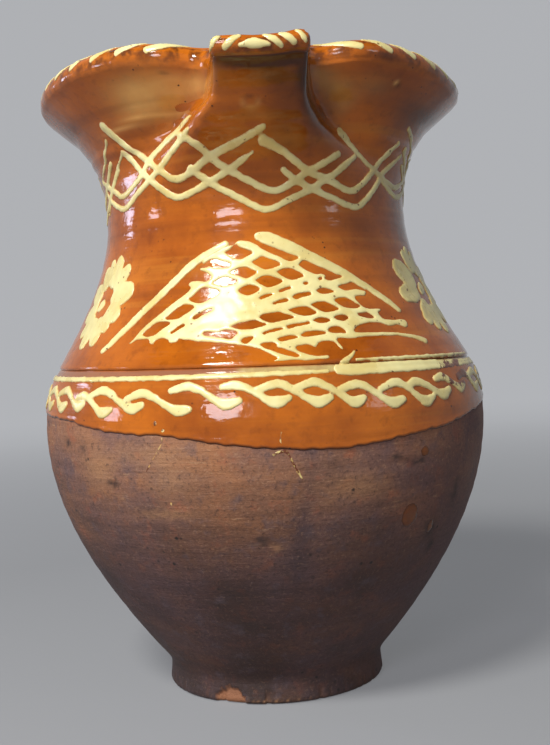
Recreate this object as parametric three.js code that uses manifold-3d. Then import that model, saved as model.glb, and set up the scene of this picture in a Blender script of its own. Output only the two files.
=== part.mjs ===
// A thrown earthenware jug: clay body with a pulled spout, strap handle, honey glaze and trailed cream slip.
// Millimetres, +Z up. The jug stands on Z = 0 round the Z axis, spout along -Y and handle along +Y.
// Angles are degrees round the jug from the spout, positive to the right as the spout faces the viewer.
import * as THREE from "three";
import { mergeVertices } from "three/addons/utils/BufferGeometryUtils.js";
import Module from "manifold-3d";

const wasm = await Module();
wasm.setup();

// Driving dimensions: the thrown wall
const FOOT_RADIUS = 46.6;
const FOOT_BEVEL = 1.5;
const WAIST_RADIUS = 46;
const WAIST_HEIGHT = 8.5;
const HEEL_RADIUS = 52.6;
const HEEL_HEIGHT = 19;
const HEEL_LEAN = 1.82; // the heel leans this many times the mean slope from there to the belly
const BELLY_RADIUS = 94.5;
const BELLY_HEIGHT = 112;
const SHOULDER_INSET = 7.5; // inside the belly's radius
const SHOULDER_RISE = 27; // above the belly
const SHOULDER_LEAN = 1.78; // times the mean slope from belly to neck
const NECK_RADIUS = 63.9;
const NECK_RISE = 61; // above the shoulder
const RIM_RADIUS = 89;
const RIM_RISE = 50; // above the neck
const KNEE_DROP = 15; // from the rim's top down to the bend where the mouth turns out
const KNEE_INSET = 11.8; // inside the rim's radius
const KNEE_LEAN = 2.6; // times the mean slope from neck to knee
const LIP_RADIUS = 3.5;
const WALL = 5;
const FLOOR = 9;
const FLOOR_FILLET = 12;
const GROOVE_DROP = 1.6; // from the shoulder down to the upper edge of the ring cut round it
const GROOVE_WIDTH = 3.4;
const GROOVE_DEPTH = 0.8;

// Driving dimensions: the spout, pulled forward out of the rim
const SPOUT_REACH = 21;
const SPOUT_WIDTH = 35;
const SPOUT_ROOT_WIDTH = 84;
const SPOUT_TAPER = 1.6; // how soon the root's width draws in towards the rim
const SPOUT_DROP = 55; // from the rim's top down to where the pull starts
const SPOUT_SIDE = 6; // how far the beak's side takes to turn, at the rim
const SPOUT_ROOT_SIDE = 38;
const PINCH = 3.5; // the rim beside the beak is pressed in this far
const PINCH_PLACE = 1.7; // half widths of the beak from its middle to the press
const PINCH_SPREAD = 0.5;
const RIM_RAISE = 3; // the front of the rim is drawn up this far
const RIM_RAISE_SPREAD = 48;

// Driving dimensions: the handle
const HANDLE_WIDTH = 30;
const HANDLE_ROOT_WIDTH = 36;
const HANDLE_THICKNESS = 10;
const HANDLE_REACH = 52; // from the neck to the middle of the strap
const HANDLE_TOP_DROP = 6; // the top root, below the knee of the rim
const HANDLE_FOOT_RISE = 17; // the lower root, above the belly's widest line
const HANDLE_DISH = 1.6; // finger groove down the outside of the strap
const HANDLE_ROOT_DEPTH = 9; // how deep each root starts inside the wall, before it is trimmed
const HANDLE_FLARE = 4; // power by which the strap widens towards its roots
const STRAP_SQUARENESS = { across: 0.7, through: 0.8 }; // powers that square up the strap's oval
// The bow's points between its roots: inside its outermost line, and up its height as a share
const HANDLE_BOW = [
  { inside: 22, up: 1.04 },
  { inside: 6, up: 0.94 },
  { inside: 0, up: 0.72 },
  { inside: 4, up: 0.45 },
  { inside: 11, up: 0.2 },
];

// Driving dimensions: glaze and slip
const SEAM = 0.3; // gap that neighbouring layers keep
const GLAZE = 0.4;
const GLAZE_EDGE_DROP = 12; // from the groove's lower edge down to the glaze's edge at the back
const GLAZE_DIP = 16; // it hangs this much lower in front
const GLAZE_DIP_ANGLE = 10;
const SLIP_HEIGHT = 0.9;
const SLIP_SAG = 0.3; // what a trail's straight steps and flat underside may take from its gap
const SLIP_TRIM = 0.05; // least gap over the glaze, to which a broad pattern's underside is trimmed
const TRAIL_WIDTH = 3.4;
const TRAIL_END = 0.45; // share of the width left at each end
const SLIP_STOP_ANGLE = 160; // the shoulder's bands stop this far round, beside the handle

// Neck lattice: pairs of wide vees that cross their neighbours. Start, bottom and end are each
// [angle, height above the neck's narrowest line]. Round the sides and the back one plain pair repeats.
const VEES = [
  { outer: [[-76, 10], [-57, 1.5], [-32, 19]], inner: [[-77, 15.5], [-57, 6.5], [-34, 20.5]] },
  { outer: [[-53, 22], [-30, 2.5], [-3, 16.5]], inner: [[-54, 30], [-30, 9], [0, 23]] },
  { outer: [[-24, 12.5], [1, -5], [35, 15]], inner: [[-25, 24], [4, 2.5], [27, 14.5]] },
  { outer: [[8, 9.5], [34.5, -4], [63, 19.5]], inner: [[2, 20], [33, 2], [57, 22.5]] },
  { outer: [[50, 10], [63, 3], [92, 18]], inner: [[28, 22], [62, 7], [88, 22]] },
];
const PLAIN_VEE = { outer: [[-25, 16], [0, -1], [28, 17]], inner: [[-28, 22], [0, 6], [25, 20]] };
const PLAIN_VEE_ANGLES = [92, 122, -87, -117];
const VEE_ROUND = 0.16; // share of each arm that the rounded bottom takes

// Front net: two fans of crossing lines under a peaked border, as [angle, height above the groove].
const NET_LEFT_BORDER = [[-49, 7.5], [-38.5, 21], [-24.5, 36], [-11.5, 46]];
const NET_RIGHT_BORDER = [[0, 48], [15, 40], [29.5, 29.5], [41.5, 16.5]];
const NET_RISING = [
  [[-39.5, 9.5], [-22.5, 28], [1.5, 43]],
  [[-31.5, 9], [-13, 26], [10, 38]],
  [[-25.5, 9], [-8, 22.5], [12, 30.5], [28, 32]],
  [[-15, 10.5], [1.5, 19.5], [30, 25]],
  [[-9, 11], [13.5, 16.5], [33.5, 18]],
  [[-3.5, 10.5], [20.5, 14], [41, 12.5]],
  [[-5, 6.5], [20.5, 9.5], [46, 5.5]],
];
const NET_FALLING = [
  [[-7.5, 46], [8.5, 37], [17, 31.5]],
  [[-15, 41], [9.5, 29.5], [27, 20.5], [34, 12.5]],
  [[-20.5, 36.5], [2, 26.5], [19.5, 19.5], [25, 10.5]],
  [[-23, 31.5], [-5, 24], [12.5, 17.5], [20.5, 9]],
  [[-26.5, 24.5], [0.5, 18.5], [11.5, 13.5], [18, 4]],
  [[-28.5, 17.5], [-8.5, 11.5], [4.5, 7], [6.5, 2]],
  [[-39.5, 10.5], [-18, 10], [-5, 6.5], [4.5, 1.2], [13, 1.2]],
];

// Side flowers
const FLOWER_ANGLE = 61.5;
const FLOWER_RISE = 26; // above the groove
const PETALS = 9;
const PETAL_REACH = 18.5;
const PETAL_NOTCH = 3.5; // how far the ring draws back between two petals
const EYE_RADIUS = 7.5;
const DOT_WIDTH = 5;

// Shoulder bands, below the groove's upper edge
const BAND_DROP = 3.9;
const BAND_WIDTH = 2.4;
const HOOK_DROP = 6.6; // to the crests of the hooks
const HOOK_STEP = 9.6;
const HOOK = [[-4.5, -2.5], [0, 0], [4, -2], [6.3, -5.6], [9.3, -9], [12, -6.2]]; // from its crest

// Rim dashes
const SPOUT_DASHES = 6;
const SPOUT_DASH_ANGLE = 5.5; // the spout's dashes keep within this angle of its middle
const SPOUT_DASH_SLANT = 1; // degrees that a dash leans each way from its middle
const RIM_DASHES = 38;
const RIM_DASH_ANGLE = 27; // and the rim's dashes start this far round, clear of the spout's corners
const RIM_DASH_SLANT = 3;
const DASH_WIDTH = 3.2;
const DASH_FROM = 0.1; // shares of the lip's round edge that a dash covers
const DASH_TO = 0.6;

// Mesh fineness
const SEGMENTS = 44;
const ROWS = {
  heel: 2,
  bowl: 6,
  shoulder: 2,
  neck: 7,
  mouth: 6,
  lip: 6,
  innerMouth: 1,
  innerNeck: 3,
  innerShoulder: 1,
  innerBowl: 4,
  floor: 3,
  glazeHem: 3,
};
const SPOUT_CROWDING = 0.55; // share by which the segments crowd towards the spout
const HANDLE_RINGS = 20;
const STRAP_POINTS = 14;
const PETAL_POINTS = 4;
const SHORTEST_STEP = 1 / 32; // share of a trail's length
const BAND_POINTS = 12;
const NUDGE = 0.01; // the small move that measures a slope
const WELD = 1e-4; // points closer than this are one

const CLAY = new THREE.MeshStandardMaterial({ color: 0x8a5a48, roughness: 0.85, metalness: 0 });
const HONEY = new THREE.MeshStandardMaterial({ color: 0xa9520f, roughness: 0.15, metalness: 0 });
const CREAM = new THREE.MeshStandardMaterial({ color: 0xead78c, roughness: 0.2, metalness: 0 });

const { clamp, lerp, smoothstep, degToRad, radToDeg } = THREE.MathUtils;
const SHOULDER_RADIUS = BELLY_RADIUS - SHOULDER_INSET;
const SHOULDER_HEIGHT = BELLY_HEIGHT + SHOULDER_RISE;
const NECK_HEIGHT = SHOULDER_HEIGHT + NECK_RISE;
const RIM_HEIGHT = NECK_HEIGHT + RIM_RISE;
const GROOVE_TOP = SHOULDER_HEIGHT - GROOVE_DROP;
const GROOVE_FOOT = GROOVE_TOP - GROOVE_WIDTH;
const SLIP_LIFT = 2 * SEAM + GLAZE + SLIP_SAG;
const LIP_CENTRE = { r: RIM_RADIUS - LIP_RADIUS, z: RIM_HEIGHT - LIP_RADIUS };
const KNEE_RADIUS = RIM_RADIUS - KNEE_INSET;
const KNEE_HEIGHT = RIM_HEIGHT - KNEE_DROP;

// The outer wall from foot to knee: radius as a smooth curve of height through these stations.
const meanSlope = (r0, z0, r1, z1) => (r1 - r0) / (z1 - z0);
const STATIONS = [
  { z: 0, r: FOOT_RADIUS, slope: 0 },
  { z: WAIST_HEIGHT, r: WAIST_RADIUS, slope: 0 },
  {
    z: HEEL_HEIGHT,
    r: HEEL_RADIUS,
    slope: HEEL_LEAN * meanSlope(HEEL_RADIUS, HEEL_HEIGHT, BELLY_RADIUS, BELLY_HEIGHT),
  },
  { z: BELLY_HEIGHT, r: BELLY_RADIUS, slope: 0 },
  {
    z: SHOULDER_HEIGHT,
    r: SHOULDER_RADIUS,
    slope: SHOULDER_LEAN * meanSlope(BELLY_RADIUS, BELLY_HEIGHT, NECK_RADIUS, NECK_HEIGHT),
  },
  { z: NECK_HEIGHT, r: NECK_RADIUS, slope: 0 },
  {
    z: KNEE_HEIGHT,
    r: KNEE_RADIUS,
    slope: KNEE_LEAN * meanSlope(NECK_RADIUS, NECK_HEIGHT, KNEE_RADIUS, KNEE_HEIGHT),
  },
];

function wallRadius(z) {
  const below = STATIONS.findLastIndex((station) => station.z <= z);
  const i = clamp(below, 0, STATIONS.length - 2);
  const [a, b] = [STATIONS[i], STATIONS[i + 1]];
  const span = b.z - a.z;
  const t = clamp((z - a.z) / span, 0, 1);
  const ease = t * t * (3 - 2 * t);
  const leave = t * (1 - t) * (1 - t) * span * a.slope;
  const arrive = t * t * (t - 1) * span * b.slope;
  return lerp(a.r, b.r, ease) + leave + arrive;
}

function wallSlope(z) {
  const low = Math.max(z - NUDGE, 0);
  const high = Math.min(z + NUDGE, KNEE_HEIGHT);
  return (wallRadius(high) - wallRadius(low)) / (high - low);
}

// A station on the meridian: where it is, which way its surface faces, and how deep it lies in the wall.
function outerStation(z, depth = 0) {
  const slope = wallSlope(z);
  const norm = Math.hypot(1, slope);
  return { r: wallRadius(z) - depth, z, nr: 1 / norm, nz: -slope / norm, inset: depth };
}

function innerStation(z) {
  const slope = wallSlope(z);
  const norm = Math.hypot(1, slope);
  return { r: wallRadius(z) - WALL * norm, z, nr: -1 / norm, nz: slope / norm, inset: WALL };
}

// The mouth's straight flare meets the lip's round edge where the two are tangent.
const FLARE_REACH = Math.hypot(LIP_CENTRE.r - KNEE_RADIUS, LIP_CENTRE.z - KNEE_HEIGHT);
const FLARE_TILT = Math.atan2(LIP_CENTRE.z - KNEE_HEIGHT, LIP_CENTRE.r - KNEE_RADIUS);
const LIP_START = FLARE_TILT - Math.PI + Math.acos(LIP_RADIUS / FLARE_REACH);

function lipStation(share) {
  const angle = LIP_START + share * Math.PI;
  const [nr, nz] = [Math.cos(angle), Math.sin(angle)];
  const inset = LIP_RADIUS * (1 - Math.cos(share * Math.PI));
  return { r: LIP_CENTRE.r + LIP_RADIUS * nr, z: LIP_CENTRE.z + LIP_RADIUS * nz, nr, nz, inset };
}

const along = (from, to, count) => Array.from({ length: count + 1 }, (_, i) => lerp(from, to, i / count));

function grooveStations() {
  const side = GROOVE_WIDTH / 4;
  return [
    outerStation(GROOVE_FOOT),
    outerStation(GROOVE_FOOT + side, GROOVE_DEPTH),
    outerStation(GROOVE_TOP - side, GROOVE_DEPTH),
    outerStation(GROOVE_TOP),
  ];
}

const UPPER_HEIGHTS = [
  ...along(GROOVE_TOP, NECK_HEIGHT, ROWS.neck).slice(1, -1),
  ...along(NECK_HEIGHT, KNEE_HEIGHT, ROWS.mouth),
];
const UPPER_OUTSIDE = [...grooveStations(), ...UPPER_HEIGHTS.map((z) => outerStation(z))];
const LOWER_OUTSIDE = [
  ...along(WAIST_HEIGHT, HEEL_HEIGHT, ROWS.heel),
  ...along(HEEL_HEIGHT, BELLY_HEIGHT, ROWS.bowl).slice(1),
  ...along(BELLY_HEIGHT, GROOVE_FOOT, ROWS.shoulder).slice(1, -1),
].map((z) => outerStation(z));
const LIP = along(0, 1, ROWS.lip).map(lipStation);
const LIP_MIDDLE = 4; // the outer glaze ends on the lip before this station, and the inner one starts there

const INSIDE_TOP = NECK_HEIGHT + (KNEE_HEIGHT - NECK_HEIGHT) / 2;
const INSIDE_FOOT = FLOOR + FLOOR_FILLET;
const INNER_KNEE = {
  r: KNEE_RADIUS - 2 * LIP_RADIUS * Math.cos(LIP_START),
  z: KNEE_HEIGHT - 2 * LIP_RADIUS * Math.sin(LIP_START),
  nr: -Math.cos(LIP_START),
  nz: -Math.sin(LIP_START),
  inset: 2 * LIP_RADIUS,
};
const INSIDE_HEIGHTS = [
  ...along(INSIDE_TOP, NECK_HEIGHT, ROWS.innerMouth),
  ...along(NECK_HEIGHT, SHOULDER_HEIGHT, ROWS.innerNeck).slice(1),
  ...along(SHOULDER_HEIGHT, BELLY_HEIGHT, ROWS.innerShoulder).slice(1),
  ...along(BELLY_HEIGHT, INSIDE_FOOT, ROWS.innerBowl).slice(1),
];
const INSIDE = [INNER_KNEE, ...INSIDE_HEIGHTS.map(innerStation)];

function floorStations() {
  const wall = innerStation(INSIDE_FOOT);
  return along(0, 1, ROWS.floor)
    .slice(1)
    .map((t) => {
      const turn = (t * Math.PI) / 2;
      return {
        r: wall.r - FLOOR_FILLET * (1 - Math.cos(turn)),
        z: INSIDE_FOOT - FLOOR_FILLET * Math.sin(turn),
        nr: -Math.cos(turn),
        nz: Math.sin(turn),
        inset: WALL,
      };
    });
}
const INNER_FLOOR = floorStations();

// The spout: clay in front moves forward into a beak, and the rim beside it is pressed in.
// The whole front of the rim is drawn up a little.
function pullSpout(point, inset) {
  const start = RIM_HEIGHT - SPOUT_DROP;
  const rise = clamp((point.z - start) / SPOUT_DROP, 0, 1);
  const pull = SPOUT_REACH * smoothstep(rise, 0, 1);
  if (pull === 0 || point.y >= 0) return point;
  const outerHalf = lerp(SPOUT_WIDTH, SPOUT_ROOT_WIDTH, (1 - rise) ** SPOUT_TAPER) / 2;
  const half = outerHalf - inset;
  const soft = lerp(SPOUT_SIDE, SPOUT_ROOT_SIDE, 1 - rise) / 2;
  const across = Math.abs(point.x);
  const beak = 1 - smoothstep(across, half - soft, half + soft);
  const beside = Math.exp(-(((across / outerHalf - PINCH_PLACE) / PINCH_SPREAD) ** 2));
  const front = smoothstep(-point.y, 0, RIM_RAISE_SPREAD);
  const press = (PINCH * rise * rise * beside * front) / Math.hypot(point.x, point.y);
  point.x -= point.x * press;
  point.y -= point.y * press + pull * beak;
  point.z += RIM_RAISE * rise * rise * front * Math.exp(-((across / RIM_RAISE_SPREAD) ** 2));
  return point;
}

// A station's place round the jug. A lift moves it out along the way the pulled surface faces there.
function place(station, angle, lift = 0) {
  const { r, z, nr, nz, inset } = station;
  const at = (r1, z1, degrees) => {
    const a = degToRad(degrees);
    return pullSpout(new THREE.Vector3(r1 * Math.sin(a), -r1 * Math.cos(a), z1), inset);
  };
  const point = at(r, z, angle);
  if (lift === 0) return point;
  const round = at(r, z, angle + NUDGE).sub(at(r, z, angle - NUDGE));
  const upward = at(r - nz * NUDGE, z + nr * NUDGE, angle).sub(at(r + nz * NUDGE, z - nr * NUDGE, angle));
  const out = r === 0 ? new THREE.Vector3(0, 0, nz) : round.cross(upward).normalize();
  return point.addScaledVector(out, lift);
}

const onWall = (angle, z, lift) => place(outerStation(z), angle, lift);
const onLip = (angle, share, lift) => place(lipStation(share), angle, lift);

// Solids: closed geometries, and joins and cuts between them
function closedGeometry(positions, index) {
  const geometry = new THREE.BufferGeometry();
  geometry.setAttribute("position", new THREE.Float32BufferAttribute(positions, 3));
  geometry.setIndex(index);
  return geometry;
}

function toSolid(geometry) {
  const plain = geometry.clone();
  plain.deleteAttribute("normal");
  plain.deleteAttribute("uv");
  const merged = mergeVertices(plain, WELD);
  return new wasm.Manifold(
    new wasm.Mesh({
      numProp: 3,
      vertProperties: new Float32Array(merged.attributes.position.array),
      triVerts: new Uint32Array(merged.index.array),
    }),
  );
}

function toGeometry(solid) {
  const mesh = solid.getMesh();
  const positions = [];
  for (let i = 0; i < mesh.numVert; i += 1) {
    positions.push(...mesh.vertProperties.slice(i * mesh.numProp, i * mesh.numProp + 3));
  }
  return closedGeometry(positions, Array.from(mesh.triVerts));
}

// Where three trails cross, the pocket that they close in between them is filled.
function fuse(geometries) {
  const joined = geometries.map(toSolid).reduce((a, b) => a.add(b));
  const shells = joined.decompose().filter((shell) => shell.volume() > 0);
  return toGeometry(wasm.Manifold.compose(shells));
}

// A meridian turned round the axis. Segments crowd towards the spout, and each vertex moves with the pull.
// From the row where the meridian turns back, the faces are split so that both skins of a coat lie alike.
function turned(stations, lifts, reshape = (station) => station, turnBack = stations.length) {
  const profile = stations.map((s) => new THREE.Vector2(s.r, s.z));
  const geometry = new THREE.LatheGeometry(profile, SEGMENTS);
  const position = geometry.attributes.position;
  const rows = profile.length;
  for (let i = 0; i < position.count; i += 1) {
    const turn = (Math.floor(i / rows) / SEGMENTS) * 2 * Math.PI;
    const angle = radToDeg(turn - SPOUT_CROWDING * Math.sin(turn));
    const j = i % rows;
    const point = place(reshape(stations[j], angle), angle, lifts[j]);
    position.setXYZ(i, point.x, point.y, point.z);
  }
  const index = [];
  for (let i = 0; i < SEGMENTS; i += 1) {
    for (let j = 0; j + 1 < rows; j += 1) {
      const [a, b] = [i * rows + j, (i + 1) * rows + j];
      if (j < turnBack) index.push(a, b, a + 1, b + 1, a + 1, b);
      else index.push(a, b, b + 1, a, b + 1, a + 1);
    }
  }
  geometry.setIndex(index);
  return geometry;
}

const onAxis = (z) => ({ r: 0, z, nr: 0, nz: 0, inset: 0 });

function thrownBody() {
  const foot = [
    { ...onAxis(0), r: FOOT_RADIUS - FOOT_BEVEL },
    { ...onAxis(FOOT_BEVEL), r: FOOT_RADIUS },
  ];
  const stations = [
    onAxis(0),
    ...foot,
    ...LOWER_OUTSIDE,
    ...UPPER_OUTSIDE,
    ...LIP,
    ...INSIDE,
    ...INNER_FLOOR,
    onAxis(FLOOR),
  ];
  return turned(
    stations,
    stations.map(() => 0),
  );
}

// The glaze's lower edge, where the dipped coat stopped.
function glazeEdge(angle) {
  const c = Math.cos(degToRad(angle - GLAZE_DIP_ANGLE));
  return GROOVE_FOOT - GLAZE_EDGE_DROP - (GLAZE_DIP / 2) * (c + c * c);
}

function coat(stations, reshape) {
  const loop = [...stations, ...[...stations].reverse(), stations[0]];
  const lifts = [
    ...stations.map(() => SEAM),
    ...stations.map(() => SEAM + GLAZE),
    SEAM,
  ];
  return turned(loop, lifts, reshape, stations.length);
}

function outerGlaze() {
  const rows = along(0, 1, ROWS.glazeHem).slice(0, -1);
  const belowGroove = (share, angle) => {
    const z = lerp(glazeEdge(angle), GROOVE_FOOT, share);
    return { ...outerStation(z), share };
  };
  const stations = [
    ...rows.map((share) => belowGroove(share, 0)),
    ...UPPER_OUTSIDE,
    ...LIP.slice(0, LIP_MIDDLE),
  ];
  return coat(stations, (station, angle) =>
    station.share === undefined ? station : belowGroove(station.share, angle),
  );
}

function innerGlaze() {
  const middle = { ...onAxis(FLOOR), nz: 1 };
  return coat([...LIP.slice(LIP_MIDDLE), ...INSIDE, ...INNER_FLOOR, middle]);
}

// The handle: a pulled strap, lofted along its bow, with both roots trimmed to the wall.
function handleBow() {
  const top = KNEE_HEIGHT - HANDLE_TOP_DROP;
  const foot = BELLY_HEIGHT + HANDLE_FOOT_RISE;
  const outermost = NECK_RADIUS + HANDLE_REACH;
  const bow = [
    [wallRadius(top) - HANDLE_ROOT_DEPTH, top],
    ...HANDLE_BOW.map(({ inside, up }) => [outermost - inside, lerp(foot, top, up)]),
    [wallRadius(foot) - HANDLE_ROOT_DEPTH, foot],
  ];
  return new THREE.CatmullRomCurve3(
    bow.map(([y, z]) => new THREE.Vector3(0, y, z)),
    false,
    "centripetal",
  );
}

function strap(grow) {
  const bow = handleBow();
  const sideways = new THREE.Vector3(1, 0, 0);
  const rings = along(0, 1, HANDLE_RINGS).map((t) => {
    const centre = bow.getPointAt(t);
    const outward = new THREE.Vector3().crossVectors(bow.getTangentAt(t), sideways).negate();
    const root = Math.abs(2 * t - 1) ** HANDLE_FLARE;
    const halfWidth = lerp(HANDLE_WIDTH, HANDLE_ROOT_WIDTH, root) / 2 + grow;
    const halfDepth = HANDLE_THICKNESS / 2 + grow;
    return Array.from({ length: STRAP_POINTS }, (_, i) => {
      const turn = (i / STRAP_POINTS) * 2 * Math.PI;
      const [c, s] = [Math.cos(turn), Math.sin(turn)];
      const x = halfWidth * Math.sign(c) * Math.abs(c) ** STRAP_SQUARENESS.across;
      const dish = s > 0 ? HANDLE_DISH * (1 - root) * (1 - Math.abs(c)) : 0;
      const depth = halfDepth * Math.sign(s) * Math.abs(s) ** STRAP_SQUARENESS.through - dish;
      return centre.clone().addScaledVector(sideways, x).addScaledVector(outward, depth);
    });
  });
  return loft(rings);
}

// A closed skin over rings of points: either joined end to end, or with a fan over each end.
function loft(rings, endless = false) {
  const count = rings[0].length;
  const bands = endless ? rings.length : rings.length - 1;
  const middles = [rings[0], rings[rings.length - 1]].map((ring) =>
    ring.reduce((sum, p) => sum.add(p), new THREE.Vector3()).divideScalar(count),
  );
  const points = endless ? rings.flat() : [...rings.flat(), ...middles];
  const index = [];
  for (let k = 0; k < count; k += 1) {
    const next = (k + 1) % count;
    for (let i = 0; i < bands; i += 1) {
      const [here, there] = [i * count, ((i + 1) % rings.length) * count];
      index.push(here + k, here + next, there + next, here + k, there + next, there + k);
    }
    if (!endless) {
      const [first, last, end] = [points.length - 2, points.length - 1, bands * count];
      index.push(first, next, k, last, end + k, end + next);
    }
  }
  const geometry = closedGeometry(
    points.flatMap((p) => [p.x, p.y, p.z]),
    index,
  );
  return facingOut(geometry);
}

// Turns every face round if they all face inwards.
function facingOut(geometry) {
  if (toSolid(geometry).volume() < 0) {
    const order = geometry.index.array;
    for (let i = 0; i < order.length; i += 3) {
      [order[i + 1], order[i + 2]] = [order[i + 2], order[i + 1]];
    }
  }
  return geometry;
}

// The whole space inside the outer wall, out to some way over it, to trim what stands on it.
function filledBody(lift) {
  const outside = [...LOWER_OUTSIDE, ...UPPER_OUTSIDE, ...LIP.slice(0, LIP_MIDDLE)];
  const stations = [onAxis(0), ...outside, onAxis(RIM_HEIGHT)];
  return facingOut(turned(stations, [0, ...outside.map(() => lift), 0]));
}

const trimmed = (geometry, tool) => toGeometry(toSolid(geometry).subtract(toSolid(tool)));
const strapHandle = () => trimmed(strap(0), filledBody(SEAM));
const overGlaze = (geometry) => trimmed(geometry, filledBody(SEAM + GLAZE + SLIP_TRIM));

// Slip: a trail is a low ridge laid on the glazed wall along points of [angle, height].
// Its stops are as few as keep each straight step from sinking by more than half of the sag.
function stops(lifted, from, to) {
  const middle = (from + to) / 2;
  const up = lifted(middle, SLIP_HEIGHT).sub(lifted(middle, 0)).normalize();
  const step = lifted(from, 0).lerp(lifted(to, 0), 0.5);
  const sunk = Math.abs(lifted(middle, 0).sub(step).dot(up));
  if (sunk < SLIP_SAG / 2 || to - from < SHORTEST_STEP) return [to];
  return [...stops(lifted, from, middle), ...stops(lifted, middle, to)];
}

function trail(path, width = TRAIL_WIDTH, surface = onWall) {
  const flat = path.map(([u, v]) => new THREE.Vector3(u, v, 0));
  const curve = new THREE.CatmullRomCurve3(flat, false, "centripetal");
  const lifted = (share, lift) => {
    const spot = curve.getPoint(share);
    return surface(spot.x, spot.y, lift);
  };
  const parts = along(0, 1, path.length);
  const shares = [0, ...parts.slice(1).flatMap((to, i) => stops(lifted, parts[i], to))];
  const base = shares.map((t) => lifted(t, SLIP_LIFT));
  const last = shares.length - 1;
  const rings = base.map((point, i) => {
    const forward = base[Math.min(i + 1, last)].clone().sub(base[Math.max(i - 1, 0)]);
    const sideways = forward.cross(facing(surface, curve.getPoint(shares[i]))).normalize();
    const half = (width / 2) * (i === 0 || i === last ? TRAIL_END : 1);
    const crest = lifted(shares[i], SLIP_LIFT + SLIP_HEIGHT);
    const [left, right] = [-half, half].map((by) => point.clone().addScaledVector(sideways, by));
    return [left, crest, right];
  });
  return loft(rings);
}

// Which way a surface faces at a spot of it.
function facing(surface, spot) {
  const across = surface(spot.x + NUDGE, spot.y, SLIP_LIFT).sub(surface(spot.x - NUDGE, spot.y, SLIP_LIFT));
  const upward = surface(spot.x, spot.y + NUDGE, SLIP_LIFT).sub(surface(spot.x, spot.y - NUDGE, SLIP_LIFT));
  return across.cross(upward).normalize();
}

// A vee is straight down, rounded at the bottom, and straight up.
function roundedVee([start, low, end]) {
  const mix = (a, b, t) => [lerp(a[0], b[0], t), lerp(a[1], b[1], t)];
  const bottom = mix(low, mix(start, end, 0.5), VEE_ROUND / 2);
  return [start, mix(low, start, VEE_ROUND), bottom, mix(low, end, VEE_ROUND), end];
}

function neckLattice() {
  const plain = PLAIN_VEE_ANGLES.flatMap((at) =>
    Object.values(PLAIN_VEE).map((vee) => vee.map(([a, h]) => [a + at, h])),
  );
  const vees = [...VEES.flatMap((pair) => Object.values(pair)), ...plain];
  return fuse(vees.map((vee) => trail(roundedVee(vee).map(([a, h]) => [a, NECK_HEIGHT + h]))));
}

const netTrail = (line) => trail(line.map(([a, h]) => [a, GROOVE_TOP + h]));
const frontNet = () => fuse([NET_RIGHT_BORDER, ...NET_RISING, ...NET_FALLING].map(netTrail));

// Side flowers: dabbed petals that run together in a ring round a bare eye, with one dot in it.
function flowerPoint(side, radius, turn) {
  const height = GROOVE_TOP + FLOWER_RISE + radius * Math.sin(turn);
  const angle = (radius * Math.cos(turn)) / degToRad(wallRadius(GROOVE_TOP + FLOWER_RISE));
  return [side * FLOWER_ANGLE + angle, height];
}

function flower(side) {
  const rings = along(0, 2 * Math.PI, PETALS * PETAL_POINTS)
    .slice(1)
    .map((turn) => {
      const reach = PETAL_REACH - PETAL_NOTCH * (1 - Math.abs(Math.cos((turn * PETALS) / 2)));
      return [
        onWall(...flowerPoint(side, EYE_RADIUS, turn), SLIP_LIFT),
        onWall(...flowerPoint(side, (EYE_RADIUS + reach) / 2, turn), SLIP_LIFT + SLIP_HEIGHT),
        onWall(...flowerPoint(side, reach, turn), SLIP_LIFT),
      ];
    });
  return loft(rings, true);
}

const flowerDot = (side) =>
  trail([flowerPoint(side, DOT_WIDTH / 2, Math.PI), flowerPoint(side, DOT_WIDTH / 2, 0)], DOT_WIDTH);

// Shoulder bands: one line under the groove, then a chain of S strokes that hook into each other.
function shoulderLine() {
  const path = along(-SLIP_STOP_ANGLE, SLIP_STOP_ANGLE, BAND_POINTS).map((a) => [a, GROOVE_TOP - BAND_DROP]);
  return trail(path, BAND_WIDTH);
}

function hookChain() {
  const count = Math.floor((2 * (SLIP_STOP_ANGLE - HOOK_STEP)) / HOOK_STEP);
  const crests = along(-count / 2, count / 2, count).map((k) => k * HOOK_STEP);
  return fuse(crests.map((at) => trail(HOOK.map(([a, h]) => [a + at, GROOVE_TOP - HOOK_DROP + h]))));
}

// Rim dashes: short slanting strokes over the lip, all the way round.
function dash(angle, slant) {
  const path = [[angle - slant, DASH_FROM], [angle, (DASH_FROM + DASH_TO) / 2], [angle + slant, DASH_TO]];
  return trail(path, DASH_WIDTH, onLip);
}

// The assembly
const jug = new THREE.Group();
function add(name, geometry, material) {
  const mesh = new THREE.Mesh(geometry, material);
  mesh.name = name;
  jug.add(mesh);
}

add("thrown_body", facingOut(thrownBody()), CLAY);
add("strap_handle", strapHandle(), HONEY);
add("outer_glaze", trimmed(facingOut(outerGlaze()), strap(SEAM)), HONEY);
add("inner_glaze", facingOut(innerGlaze()), HONEY);
add("neck_lattice", overGlaze(neckLattice()), CREAM);
add("front_net", overGlaze(frontNet()), CREAM);
add("net_left_border", netTrail(NET_LEFT_BORDER), CREAM);
for (const [name, side] of [["left", -1], ["right", 1]]) {
  add(`${name}_flower`, flower(side), CREAM);
  add(`${name}_flower_dot`, flowerDot(side), CREAM);
}
add("shoulder_line", shoulderLine(), CREAM);
add("hook_chain", hookChain(), CREAM);
along(-SPOUT_DASH_ANGLE, SPOUT_DASH_ANGLE, SPOUT_DASHES - 1).forEach((angle, i) => {
  add(`spout_dash_${i + 1}`, dash(angle, SPOUT_DASH_SLANT), CREAM);
});
along(RIM_DASH_ANGLE, 360 - RIM_DASH_ANGLE, RIM_DASHES - 1).forEach((angle, i) => {
  add(`rim_dash_${i + 1}`, dash(angle, RIM_DASH_SLANT), CREAM);
});

export default jug;
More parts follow.
